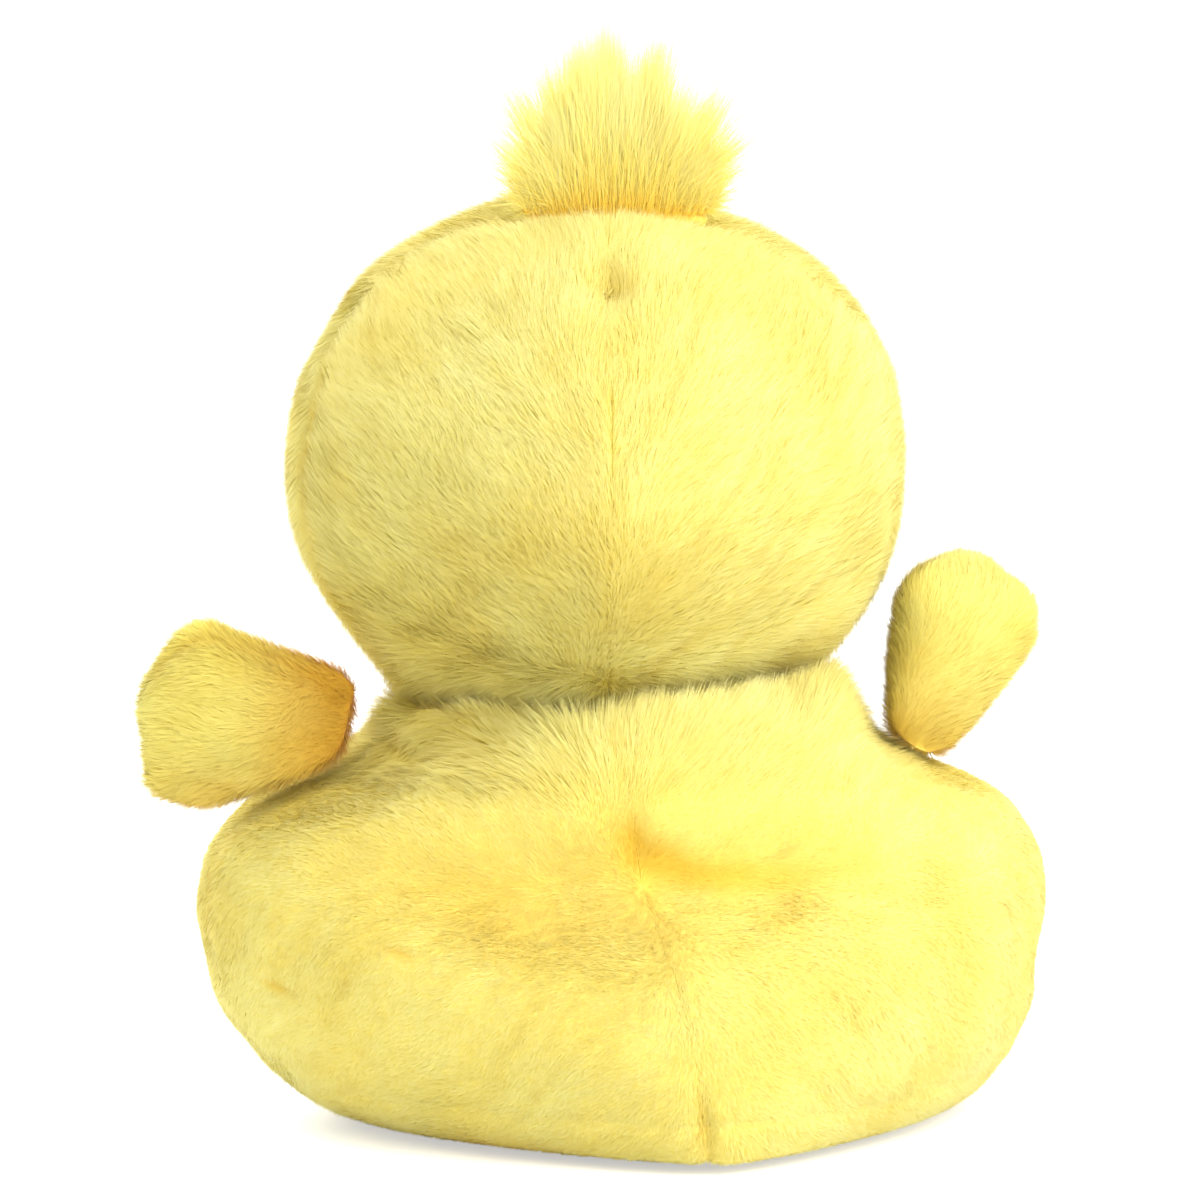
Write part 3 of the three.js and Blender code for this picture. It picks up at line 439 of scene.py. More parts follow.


# Relief of the skin: how far it stands out, and how much painted shade it gets where little light falls into
# its pile


def body_relief(points):
    x, y, z = coordinates(points)
    behind = smooth_step(0, 8, y)
    seam = BACK_SEAM_AT_SEAT + np.tan(BACK_SEAM_LEAN) * z
    fold = 2.4 * np.exp(-((x / 31) ** 4) - ((z - 31) / 5.5) ** 2)
    crease = along_path(x, z, *CREASE)
    valley = 1.5 * along_path(x, z, *VALLEY)
    ledge = 4.2 * along_path(x, z, *LEDGE)
    slit = 0.5 + 1.9 * bell((z - 6) / 4) + 1.6 * bell((z - 34) / 2.5)
    groove = 0.5 * slit * bell((x - seam) / 0.7)
    # edge: a spot by the bottom edge that gets a deeper colour but is not pressed in
    edge = 1.2 * bell((x - 18) / 6, (z - 1.5) / 2)
    nick = sum(bell((x - across) / 1.3, (z - up - 0.4 * (x - across)) / 0.5) for across, up in NICKS)
    # sunk is painted shade: the fold, crease, valley, ledge, seam grooves and nicks, pressed in, get a deeper
    # colour; the spot at the edge and the side seam are deepened too
    sunk = behind * (0.3 * fold + 2.3 * crease + 0.5 * valley + 0.12 * ledge + 1.2 * groove + edge + 2 * nick)
    side = 0.25 * bell((y - SIDE_SEAM_SETBACK) / 0.8)
    seat = 0.25 * bell((z - SEAT_SEAM_HEIGHT) / 0.8)
    lumps = 0.3 * ripple(points, 24, 3) + 0.25 * ripple(points, 10, 4)
    pressed = behind * (fold + 1.4 * crease + valley + ledge + groove + 0.5 * nick)
    return lumps * smooth_step(1, 9, z) - pressed - side - seat, sunk + side


def head_relief(points):
    x, y, z = coordinates(points)
    behind = smooth_step(0, 10, y)
    ridge = 1.3 * np.exp(-np.abs(x) / 8) * bell((z + 8) / 20)
    groove = 0.13 * bell(x / 0.8)
    dimple = 2.0 * np.exp(-(x**2 + ((z - TACK_HEIGHT) / 1.3) ** 2) / 4)
    around_crest = np.hypot(y - crest_foot[1], z - crest_foot[2])
    valley = 1.5 * bell(around_crest / 2.4) * smooth_step(13, 10.5, np.abs(x + CREST_ASIDE))
    slit = 1.6 * bell((z - 5) / 4) * smooth_step(20, 30, x)
    side = bell((y - CROWN_SEAM_SETBACK) / 0.8)
    lumps = 0.6 * ripple(points, 26, 5) + 0.2 * ripple(points, 11, 6)
    stands = lumps + behind * (ridge - groove - dimple) - 0.5 * side * (1 + slit) - valley
    # The second part is painted shade in the seam groove, the dimple, and the side seam with its slit
    return stands, behind * (groove + 0.5 * dimple) + side * (0.5 + 1.5 * slit)


def wing_relief(root_and_edge_shade):
    """The wing's root and lower edge get painted shade, as much as the given strength says; the seam's fold
    gets some too.
    """
    def relief(points):
        x, y, z = coordinates(points)
        fold = 0.7 * bell((y - np.tan(WING_SEAM_LEAN) * z) / 0.8) * smooth_step(2, 8, np.abs(z))
        # Painted shade at the root and along the lower edge: colour only, not pressed in
        root = smooth_step(12, -5, x)
        low = 0.6 * smooth_step(0, -9, z) * smooth_step(19, 8, x)
        return 0.45 * ripple(points, 13, 8) - fold, 0.7 * fold + 3 * root_and_edge_shade * np.maximum(root, low)
    return relief


def felt_relief(breadth, drop, seed):
    """Faint lumps, and a fold along the seam, which lies a drop under the middle and gets painted shade."""
    def relief(points):
        inner = smooth_step(0.97, 0.8, np.abs(points[..., 0]) * 2 / breadth)
        fold = 0.3 * inner * bell((points[..., 2] + drop) / 0.35)
        return 0.12 * ripple(points, 7, seed) - fold, 2 * fold
    return relief


# Meshes


def add_attribute(mesh, name, values):
    """A number or a vector for every vertex of a mesh."""
    kind, key = ("FLOAT", "value") if values.ndim == 1 else ("FLOAT_VECTOR", "vector")
    mesh.attributes.new(name, kind, "POINT").data.foreach_set(key, values.astype(np.float32).ravel())


def grid_mesh(name, points, depth=None):
    rows, columns = points.shape[:2]
    index = np.arange(rows * columns).reshape(rows, columns)
    after = np.roll(index, -1, axis=1)
    quads = np.stack([index[:-1], after[:-1], after[1:], index[1:]], axis=-1).reshape(-1, 4)
    mesh = bpy.data.meshes.new(name)
    mesh.from_pydata((points.reshape(-1, 3) * MM).tolist(), [], quads.tolist())
    # depth: painted shade, from 0 to 1, for the material to deepen the colour
    if depth is not None:
        add_attribute(mesh, "depth", depth.ravel())
    shape = bmesh.new()
    shape.from_mesh(mesh)
    bmesh.ops.remove_doubles(shape, verts=shape.verts, dist=1e-6)
    bmesh.ops.dissolve_degenerate(shape, dist=1e-7, edges=shape.edges)
    shape.to_mesh(mesh)
    shape.free()
    mesh.shade_smooth()
    return mesh


def cut_mesh(mesh, name, planes, place, kept=None):
    """A copy of a mesh without what lies in front of each plane, given as (point, normal) in millimetres, or
    where kept says False."""
    shape = bmesh.new()
    shape.from_mesh(mesh)
    for point, normal in planes:
        whole = shape.verts[:] + shape.edges[:] + shape.faces[:]
        plane = {"plane_co": Vector(point) * MM, "plane_no": Vector(normal)}
        bmesh.ops.bisect_plane(shape, geom=whole, clear_outer=True, **plane)
    if kept is not None:
        middles = np.array([face.calc_center_median() for face in shape.faces]) / MM
        gone = [face for face, stays in zip(shape.faces, kept(middles)) if not stays]
        bmesh.ops.delete(shape, geom=gone, context="FACES")
    made = bpy.data.meshes.new(name)
    shape.to_mesh(made)
    shape.free()
    in_metres = Matrix(place.tolist())
    in_metres.translation *= MM
    made.transform(in_metres)
    made.shade_smooth()
    return made


def turned_mesh(name, profile, place, sides=48):
    """A round form from a profile of (radius, height) pairs, about Z of a place."""
    angle = full_turn(sides)
    radius, height = np.array(profile, float).T[..., None]
    return grid_mesh(name, placed(xyz(radius * np.cos(angle), radius * np.sin(angle), height), place))


def scatter(points, density, seed, planes, keep):
    """Random points over a surface, at a density to the square millimetre, with normals and grid places."""
    rng = np.random.default_rng(seed)
    a, b = points[:-1], points[1:]
    c, d = np.roll(b, -1, axis=1), np.roll(a, -1, axis=1)
    area = np.linalg.norm(np.cross(c - a, d - b), axis=-1) / 2
    total = area.sum()
    count = int(total * density)
    cell = np.searchsorted(np.cumsum(area.ravel()), rng.uniform(0, total, count))
    row, column = np.divmod(np.minimum(cell, area.size - 1), area.shape[1])
    u, v = rng.random(count)[:, None], rng.random(count)[:, None]
    weights = [(1 - u) * (1 - v), (1 - u) * v, u * v, u * (1 - v)]
    after = (column + 1) % points.shape[1]
    corners = [(row, column), (row, after), (row + 1, after), (row + 1, column)]

    def blended(values):
        return sum(w * values[corner] for w, corner in zip(weights, corners))

    places = blended(points)
    chosen = np.ones(count, bool) & keep(places)
    for point, normal in planes:
        chosen &= (places - np.array(point)) @ np.array(normal, float) < 0
    normals = unit(blended(surface_normals(points)))
    grid = np.stack([(row + u[:, 0]) / points.shape[0], (column + v[:, 0]) / points.shape[1]], axis=-1)
    return places[chosen], normals[chosen], grid[chosen]


def strand_mesh(name, roots, tips, normals, width, grid, depth, shade, seed, knees=None):
    """Flat tapered strands that face as the normals do. Those with knees bend there, and stand by themselves;
    the others are shaded as the skin is. A depth, the painted shade of a crease, and a shade from 0 to 1,
    which picks a tone and is lower where shade is painted, go with the colour."""
    rng = np.random.default_rng(seed)
    middles = [roots] if knees is None else [roots, knees]
    count, rings = len(roots), len(middles)
    heading = unit(tips - roots)
    side = unit(np.cross(heading, normals) + 1e-6)
    roll = rng.normal(0, 0.45 if knees is None else 0.25, count)[:, None]
    side = side * np.cos(roll) + np.cross(heading, side) * np.sin(roll)
    half = (width * rng.uniform(0.7, 1.3, count) / 2)[:, None]
    stride = 2 * rings + 1
    vertices = np.empty((count, stride, 3))
    for i, middle in enumerate(middles):
        vertices[:, 2 * i] = middle - side * half * (1 - 0.2 * i)
        vertices[:, 2 * i + 1] = middle + side * half * (1 - 0.2 * i)
    vertices[:, -1] = tips
    triangles = [[0, 1, 3], [0, 3, 2]] * (rings - 1) + [[stride - 3, stride - 2, stride - 1]]
    faces = (np.arange(count)[:, None, None] * stride + np.array(triangles)).ravel()
    mesh = bpy.data.meshes.new(name)
    mesh.vertices.add(count * stride)
    mesh.vertices.foreach_set("co", (vertices * MM).astype(np.float32).ravel())
    mesh.loops.add(len(faces))
    mesh.loops.foreach_set("vertex_index", faces.astype(np.int32))
    mesh.polygons.add(len(faces) // 3)
    mesh.polygons.foreach_set("loop_start", np.arange(0, len(faces), 3, dtype=np.int32))
    mesh.update(calc_edges=True)
    cell = np.floor(np.clip(grid, 0, 0.999) * MAP_CELLS)
    along = np.repeat(np.linspace(0, 1, rings + 1) * 0.9 + 0.05, 2)[:-1]
    sideways = np.array([*[0, 0.06] * rings, 0.03])
    uv = np.empty((count, stride, 2))
    uv[..., 0] = (cell[:, :1] + along) / MAP_CELLS
    uv[..., 1] = (cell[:, 1:] + np.clip(shade, 0.06, 0.88)[:, None] + sideways) / MAP_CELLS
    for layer in ("StrandMap", "OFBake"):
        corners = uv.reshape(-1, 2)[faces].astype(np.float32).ravel()
        mesh.uv_layers.new(name=layer).data.foreach_set("uv", corners)
    add_attribute(mesh, "depth", np.repeat(depth, stride))
    if knees is None:
        shading = unit(normals + 0.2 * np.cross(side, heading))
        add_attribute(mesh, "custom_normal", np.repeat(shading, stride, axis=0))
    return mesh


# Materials


def new_material(name):
    material = bpy.data.materials.new(name)
    material.use_nodes = True
    return material, material.node_tree, material.node_tree.nodes["Principled BSDF"]


def feed(tree, node, values):
    """Set sockets of a node to numbers or colours, or link them to what other nodes put out."""
    for socket, value in values.items():
        if isinstance(value, bpy.types.NodeSocket):
            tree.links.new(value, node.inputs[socket])
        else:
            node.inputs[socket].default_value = (*value, 1) if isinstance(value, tuple) else value


def ramp(tree, value, stops):
    node = tree.nodes.new("ShaderNodeValToRGB")
    elements = node.color_ramp.elements
    for element, (place, colour) in zip(elements, (stops[0], stops[-1])):
        element.position = place
        element.color = (*colour, 1)
    for place, colour in stops[1:-1]:
        elements.new(place).color = (*colour, 1)
    feed(tree, node, {0: value})
    return node.outputs[0]


def math_node(tree, operation, value, other):
    node = tree.nodes.new("ShaderNodeMath")
    node.operation = operation
    feed(tree, node, {0: value, 1: other})
    return node.outputs[0]


def mixed(tree, blend, factor, one, other):
    node = tree.nodes.new("ShaderNodeMix")
    node.data_type = "RGBA"
    node.blend_type = blend
    feed(tree, node, {0: factor, 6: one, 7: other})
    return node.outputs[2]


def shaded_by_depth(tree, colour, shade_colour):
    """A colour that turns to a deeper one, painted shade, as far as the mesh's depth attribute says."""
    node = tree.nodes.new("ShaderNodeAttribute")
    node.attribute_name = "depth"
    return mixed(tree, "MIX", node.outputs["Fac"], colour, shade_colour)


def noise(tree, scale, detail=2):
    place = tree.nodes.new("ShaderNodeTexCoord")
    node = tree.nodes.new("ShaderNodeTexNoise")
    feed(tree, node, {"Scale": scale, "Detail": detail, "Vector": place.outputs["Object"]})
    return node.outputs["Fac"]


def soft_surface(tree, surface, colour, sheen):
    soft = {"Roughness": 0.9, "Specular IOR Level": 0.12, "Sheen Weight": sheen, "Sheen Roughness": 0.5}
    feed(tree, surface, {"Base Color": colour, **soft})


def pile_material(name, root, middle, tip, shade_colour):
    """Pile that is deeper in colour at its roots, partly its own colour and partly painted shade, and pale at
    its tips, partly painted light that shines through them; with painted shade in creases, and patches of
    deeper tone.
    """
    material, tree, surface = new_material(name)
    strand_map = tree.nodes.new("ShaderNodeUVMap")
    strand_map.uv_map = "StrandMap"
    split = tree.nodes.new("ShaderNodeSeparateXYZ")
    feed(tree, split, {0: strand_map.outputs["UV"]})
    in_cells = [math_node(tree, "MULTIPLY", split.outputs[i], MAP_CELLS) for i in (0, 1)]
    along, shade = (math_node(tree, "FRACT", value, 0) for value in in_cells)
    # Roots to tips: partly the pile's own colour, partly painted shade at the roots and painted light at the
    # tips
    colour = shaded_by_depth(tree, ramp(tree, along, [(0.0, root), (0.45, middle), (1.0, tip)]), shade_colour)
    patch = ramp(tree, noise(tree, 80), [(0.35, (0.98, 0.93, 0.74)), (0.65, WHITE)])
    # Lower shades are darker: streaks and random tone, and painted shade where the pile is marked for it
    toned_and_shaded = ramp(tree, shade, [(0, (0.84, 0.77, 0.62)), (0.25, (0.945, 0.915, 0.78)), (1, WHITE)])
    colour = mixed(tree, "MULTIPLY", 1.0, mixed(tree, "MULTIPLY", 1.0, colour, patch), toned_and_shaded)
    soft_surface(tree, surface, colour, 0.15)
    return material


def cloth_material(name, dark, light, shade_colour=None, scale=1300, detail=3, bump=0.5, sheen=0.15):
    """The matted foot of pile, with painted shade in its creases, or plain cloth or fibre: a fine mottle with
    a bump.
    """
    material, tree, surface = new_material(name)
    grain = noise(tree, scale, detail)
    colour = ramp(tree, grain, [(0.35, dark), (0.65, light)])
    soft_surface(tree, surface, shaded_by_depth(tree, colour, shade_colour) if shade_colour else colour, sheen)
    relief = tree.nodes.new("ShaderNodeBump")
    feed(tree, relief, {"Strength": bump, "Distance": 0.0003, "Height": grain})
    feed(tree, surface, {"Normal": relief.outputs[0]})
    return material


def gloss_material(name, dark, light, roughness):
    material, tree, surface = new_material(name)
    gloss = {"Roughness": roughness, "Coat Weight": 0.3, "Coat Roughness": 0.04}
    feed(tree, surface, {"Base Color": ramp(tree, noise(tree, 300), [(0.3, dark), (0.7, light)]), **gloss})
    return material


# The last colour of each pile, and the third of a cloth where one is given, is painted shade for creases,
# seams and other hollows, used where the depth attribute says
fur = pile_material("fur", (0.99, 0.86, 0.2), (1, 0.92, 0.29), (1, 0.95, 0.47), (0.99, 0.74, 0.11))
wing_fur = pile_material("wing_fur", (0.99, 0.85, 0.2), (1, 0.91, 0.26), (1, 0.95, 0.36), (0.95, 0.62, 0.08))
crest_shades = (1, 0.66, 0.06), (1, 0.88, 0.22), (0.98, 0.97, 0.5), (0.99, 0.76, 0.12)
crest_fur = pile_material("crest_fur", *crest_shades)
fuzz_shades = (0.88, 0.3, 0.04), (0.93, 0.36, 0.05), (0.96, 0.44, 0.08), (0.8, 0.25, 0.03)
fuzz = pile_material("orange_fuzz", *fuzz_shades)
nap = cloth_material("nap", (0.98, 0.82, 0.2), (1, 0.9, 0.28), (0.97, 0.66, 0.09))
crest_cloth = cloth_material("crest_cloth", (0.97, 0.64, 0.08), (1, 0.76, 0.14), (0.97, 0.66, 0.09))
# The wing nap's painted shade is darker, for the shade at the wings' roots
wing_nap = cloth_material("wing_nap", (0.97, 0.78, 0.17), (1, 0.86, 0.24), (0.84, 0.5, 0.06))
felt = cloth_material("orange_cloth", (0.83, 0.27, 0.03), (0.92, 0.36, 0.05), (0.7, 0.2, 0.02))
thread = cloth_material("thread", (0.6, 0.46, 0.1), (0.72, 0.58, 0.14), None, 2500, 4, 0.6, 0.2)
fibre = cloth_material("fibre", (0.8, 0.79, 0.75), (0.93, 0.93, 0.9), None, 500, 4, 0.8, 0.2)
lining = cloth_material("lining", (0.74, 0.72, 0.65), (0.84, 0.82, 0.76), None, 2500, 4, 0.5, 0.2)
pellet = gloss_material("pellet", (0.6, 0.62, 0.64), (0.72, 0.74, 0.75), 0.4)
eye_black = gloss_material("eye_black", (0.004, 0.003, 0.003), (0.008, 0.006, 0.005), 0.12)
nylon = gloss_material("nylon", (0.78, 0.78, 0.74), (0.86, 0.86, 0.83), 0.45)

# Pieces


def always(points):
    return True


def nowhere(points):
    return 0


def untouched(points):
    return points


# What is dressed in cloth and pile: the skin's points and relief, how its pile lies, its body, slot, cloth,
# pile and place, where pile is kept and how far it has grown, where it is tufted, where its pile gets painted
# shade and where it is lifted, what trims its tips, and the lowest height that they reach
Skin = namedtuple(
    "Skin",
    "points relief comb body slot cloth pile fur place keep grown tufted dulled lifted trimmed lowest",
    defaults=(np.eye(4), always, always, nowhere, nowhere, nowhere, untouched, -math.inf),
)


def add_piece(name, mesh, material, body, slot, *nodes):
    mesh.materials.append(material)
    piece = bpy.data.objects.new(name, mesh)
    bpy.context.scene.collection.objects.link(piece)
    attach(piece, body)
    if nodes:
        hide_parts(*nodes)
    return piece


def add_cloth(skin, name, node, planes, kept=None):
    """The cloth of one panel, on the side of the planes where it lies."""
    # The cloth's depth attribute is the relief's painted shade
    whole = grid_mesh(name, skin.points, np.clip(skin.relief(skin.points)[1] / 2.5, 0, 1))
    mesh = cut_mesh(whole, name, planes, skin.place, kept)
    piece = add_piece(name, mesh, skin.cloth, skin.body, skin.slot, node)
    layer = piece.modifiers.new("cloth", "SOLIDIFY")
    layer.thickness = CLOTH_THICKNESS * MM
    layer.offset = -1


def combed(normals, direction, points, seed):
    """The direction in which the pile lies, along the skin, wandering a little."""
    lying = direction - normals * (direction * normals).sum(-1, keepdims=True)
    lying = unit(lying + 1e-6)
    wander = 0.3 * ripple(points, 14, seed) + 0.2 * ripple(points, 5, seed + 1)
    return lying * np.cos(wander)[:, None] + np.cross(normals, lying) * np.sin(wander)[:, None]


def streaked(points, lying, seed):
    """Streaks along the way that the pile lies, between about -1 and 1."""
    steps = np.linspace(-STREAK_LENGTH / 2, STREAK_LENGTH / 2, 5)
    return sum(ripple(points + step * lying, STREAK_BREADTH, seed, 14) for step in steps) / 3


def clumped(tips, size, strength, rng):
    """Tips drawn towards the middle of those that share a small cell with them."""
    wander = tips + size * 0.5 * xyz(*(ripple(tips, 4 * size, seed) for seed in (21, 22, 23)))
    _, group = np.unique(np.floor(wander / size).astype(np.int64), axis=0, return_inverse=True)
    group = group.ravel()
    counts = np.bincount(group)
    middle = xyz(*(np.bincount(group, tips[:, i]) / counts for i in range(3)))
    pull = (strength * rng.uniform(0.5, 1, len(tips)))[:, None]
    return tips + (middle[group] - tips) * pull


def add_pile(skin, name, node, seed, planes):
    """The pile of one panel or of a part of it, on the side of the planes where it lies."""
    rng = np.random.default_rng(seed)
    pile = skin.pile
    found = scatter(skin.points, pile.density, seed, planes, skin.keep)
    roots, normals, grid = (values[:MOST_FACES] for values in found)
    lying = combed(normals, skin.comb(roots), roots, seed)
    streak = streaked(roots, lying, seed + 3)
    tuft = skin.tufted(roots)
    growth = 1 + 0.08 * ripple(roots, 7, seed + 5) + 0.07 * streak + rng.normal(0, 0.08, len(roots))
    growth = (growth * skin.grown(roots) * (1 + 0.5 * tuft))[:, None]
    stray = rng.normal(0, pile.stray, (len(roots), 3)) * pile.length * growth
    raised = pile.height * ((0.8 + 2 * rng.beta(1.1, 4.5, len(roots))) * (1 + skin.lifted(roots)))[:, None]
    tips = roots + normals * raised * growth + lying * 0.8 * pile.length * growth + stray
    tips = skin.trimmed(clumped(tips, pile.lock, pile.pull + 0.5 * tuft, rng))
    # Painted shade from the relief, where little light falls into the pile
    depth = np.clip(skin.relief(roots)[1] / 3, 0, 1)
    # shade: streaks and random tone, lowered where painted shade is marked
    shade = 0.55 + 0.34 * streak + rng.normal(0, 0.06, len(roots)) - 0.45 * skin.dulled(roots)
    roots, tips = placed(roots, skin.place), placed(tips, skin.place)
    tips[:, 2] = np.maximum(tips[:, 2], skin.lowest)
    normals = normals @ skin.place[:3, :3].T
    mesh = strand_mesh(name, roots, tips, normals, pile.width, grid, depth, shade, seed + 9)
    add_piece(name, mesh, skin.fur, skin.body, skin.slot, node)


def dress(skin, panels, piles, seed, kept=None):
    """The cloth of panels, {name: planes}, and the piles on them, {name: (panel, more planes)}."""
    for name, planes in panels.items():
        add_cloth(skin, name + "_cloth", name + "_panel", planes, kept=kept)
    for number, (name, (panel, planes)) in enumerate(piles.items()):
        add_pile(skin, name + "_pile", panel + "_panel", seed + 10 * number, panels[panel] + planes)


def add_filling(name, points, body, node, place=np.eye(4), planes=()):
    lumpy = points + surface_normals(points) * 0.3 * ripple(points, 5, 31)[..., None]
    mesh = cut_mesh(grid_mesh(name, lumpy), name, planes, place)
    add_piece(name, mesh, fibre, body, "fibre", node)


# Body

seam_normal = np.array([math.cos(BACK_SEAM_LEAN), 0, -math.sin(BACK_SEAM_LEAN)])
seam_point = (BACK_SEAM_AT_SEAT, 0, 0)
above_seat = ((0, 0, SEAT_SEAM_HEIGHT), -UP)
behind_side = ((0, SIDE_SEAM_SETBACK, 0), -BEHIND)
before_side = ((0, SIDE_SEAM_SETBACK, 0), BEHIND)
on_left = ((0, 0, 0), -LEFT)
on_right = ((0, 0, 0), LEFT)
body_panels = {
    "base": [((0, 0, SEAT_SEAM_HEIGHT), UP)],
    "belly": [above_seat, before_side],
    "back_left": [above_seat, behind_side, (seam_point, -seam_normal)],
    "back_right": [above_seat, behind_side, (seam_point, seam_normal)],
}
body_piles = {
    "base": ("base", []),
    "belly_left": ("belly", [on_left]),
    "belly_right": ("belly", [on_right]),
    "back_left": ("back_left", []),
    "back_right": ("back_right", []),
}


def body_comb(points):
    """Behind, pile lies out from the back seam, down at the seat and up towards the neck. In front it lies
    down, and out along the lip of the neck."""
    x, y, z = coordinates(points)
    aside = x - BACK_SEAM_AT_SEAT - np.tan(BACK_SEAM_LEAN) * z
    behind = smooth_step(0, 16, y)
    raised = smooth_step(21, 40, z)
    lip = smooth_step(LIP_HEIGHT, 46.5, z)
    out = np.clip(aside / 5, -1, 1) * behind + 0.8 * np.clip(x / 9, -1, 1) * lip * (1 - behind)
    upward = (1.9 * raised - 0.8) * behind + (0.6 * lip - 1) * (1 - behind)
    return xyz(out * (1 - 0.7 * smooth_step(LIP_HEIGHT, 48, z)), 0, upward)


def body_grown(points):
    """Pile is short down in the head's hollow and where the duck sits on it."""
    z = points[..., 2]
    outer = smooth_step(1.2, 2.2, beyond_head(points)[0])
    neck = 0.4 + 0.6 * smooth_step(43, 46, z + 5 * outer) + 0.2 * smooth_step(43.5, 46, z)
    return neck * (0.3 + 0.7 * smooth_step(0.3, 3, z))


def body_kept(points):
    """False in the bottom of the head's hollow and under the seat."""
    x, y, z = coordinates(points)
    under = (z < 1) & (np.hypot(x / BODY_WIDTH, y / RUMP_DEPTH / 2) < 0.33)
    return ((beyond_head(points)[0] > 1.5) | (z > LIP_HEIGHT + 0.5)) & ~under


def on_back(mark):
    """How strongly a mark on the body's back is felt."""
    def felt_at(points):
        x, y, z = coordinates(points)
        return along_path(x, z, *mark) * smooth_step(0, 8, y)
    return felt_at


def body_lifted(points):
    """Pile stands up at the lip of the neck, to close the gap under the head."""
    return 0.9 * smooth_step(LIP_HEIGHT, 45.5, points[..., 2])


body_form = body_grid()
body_nap = nap_grid(body_form, body_relief, NAP_DEPTH)
drawn_in = 1 - 0.05 * smooth_step(LIP_HEIGHT, 49, body_nap[..., 2])[..., None]
body_nap[..., :2] = head_centre[:2] + (body_nap[..., :2] - head_centre[:2]) * drawn_in
body_nap = under_head(body_nap, SWING_GAP + 0.5)
body_nap[..., 2] = np.maximum(body_nap[..., 2], 0.3)
lip_share = smooth_step(43, 47, body_nap[..., 2])[..., None]
body_nap = smoothed(body_nap, 1) * (1 - lip_share) + smoothed(body_nap, 22) * lip_share
body_skin = Skin(
    body_nap, body_relief, body_comb, "torso", "fur", nap, BODY_PILE, fur,
    keep=body_kept,
    grown=body_grown,
    tufted=on_back(TUFTED_EDGE),
    # Painted shade on the neck's band over the left shoulder
    dulled=on_back(NECK_BAND),
    lifted=body_lifted,
    trimmed=under_head,
    lowest=0.05,
)
dress(body_skin, body_panels, body_piles, 100)

body_core = moved_in(body_form, FILL_DEPTH)
lid_share = smooth_step(BODY_HEIGHT - 1.5, BODY_HEIGHT - 0.2, body_form[..., 2])[..., None]
body_core[..., :2] *= 1 - 0.24 * lid_share
body_core = under_head(body_core, SWING_GAP + 4)
add_filling("body_stuffing", body_core, "torso", "body_fill", planes=[((0, 0, BAG_HEIGHT + 1), -UP)])


def add_pellet_bag():
    """The lining bag, drawn in at its top."""
    low = body_core.copy()
    low[..., 2] = np.minimum(low[..., 2], BAG_HEIGHT + 0.4 * ripple(body_core, 8, 41))
    mesh = grid_mesh("pellet_bag_cloth", low)
    add_piece("pellet_bag_cloth", mesh, lining, "torso", "lining", "pellet_bag")


def add_pellets():
    """The bag's load: flattened drops in close layers, each turned its own way."""
    rng = np.random.default_rng(51)
    step = 2 * PELLET_RADIUS
    lines = [np.arange(-60, 60, step), np.arange(-60, 60, step * 0.87), np.arange(0, BAG_HEIGHT, step * 0.82)]
    middles = np.stack(np.meshgrid(*lines, indexing="ij"), axis=-1)
    middles[:, 1::2, :, 0] += step / 2
    middles[:, :, 1::2, 0] += step / 2
    middles = middles.reshape(-1, 3)
    x, y, z = coordinates(middles)
    half, back, front, drift = body_section(z)
    wall = FILL_DEPTH + BAG_GAP + PELLET_RADIUS
    depth = np.where(y > 0, back * 0.8, front) - wall
    inside = np.hypot((x - drift) / (half * 0.9 - wall), y / depth) < 1
    inside &= (z > wall) & (z < BAG_HEIGHT - PELLET_RADIUS - BAG_GAP)
    middles = middles[inside] + rng.normal(0, 0.1, (inside.sum(), 3))
    polar, around = np.linspace(0, math.pi, 6)[:, None], full_turn(8)
    ball = xyz(np.sin(polar) * np.cos(around), np.sin(polar) * np.sin(around), -0.8 * np.cos(polar))
    one = grid_mesh("pellet_one", ball * PELLET_RADIUS)
    corners = np.array([v.co for v in one.vertices]) / MM
    faces = [list(face.vertices) for face in one.polygons]
    turns = np.linalg.qr(rng.normal(size=(len(middles), 3, 3)))[0]
    turns *= np.sign(np.linalg.det(turns))[:, None, None]
    places = np.einsum("nij,kj->nki", turns, corners) + middles[:, None]
    every = [[i + n * len(corners) for i in face] for n in range(len(middles)) for face in faces]
    heap = bpy.data.meshes.new("pellet_load")
    heap.from_pydata((places.reshape(-1, 3) * MM).tolist(), [], every)
    heap.shade_smooth()
    add_piece("pellet_load", heap, pellet, "torso", "pellet", "pellets")


add_pellet_bag()
add_pellets()

# Neck

neck_grid = head_grid(60, 80) * np.array([0.36, 0.36, 0.2])
neck_grid = clear_of_head(neck_grid + head_centre - UP * (HEAD_HEIGHT / 2 + 5), SWING_GAP + 1.3)
add_filling("neck_stuffing", neck_grid, "neck", "neck_fill")

# Head

behind_crown = ((0, CROWN_SEAM_SETBACK, 0), -BEHIND)
head_panels = {
    "face": [((0, CROWN_SEAM_SETBACK, 0), BEHIND)],
    "head_back_left": [behind_crown, on_left],
    "head_back_right": [behind_crown, on_right],
}
head_piles = {
    "face_left": ("face", [on_left]),
    "face_right": ("face", [on_right]),
    "head_back_left": ("head_back_left", []),
    "head_back_right": ("head_back_right", []),
}


def eye_place(side):
    place = np.array(head_surface(EYE_POLAR, side * EYE_SPREAD))
    out = place / np.array([HEAD_WIDTH, HEAD_WIDTH, HEAD_HEIGHT]) ** 2
    return shift(*place) @ np.array(Vector(out).to_track_quat("Z", "Y").to_matrix().to_4x4())


eye_places = {"left_eye": eye_place(1), "right_eye": eye_place(-1)}


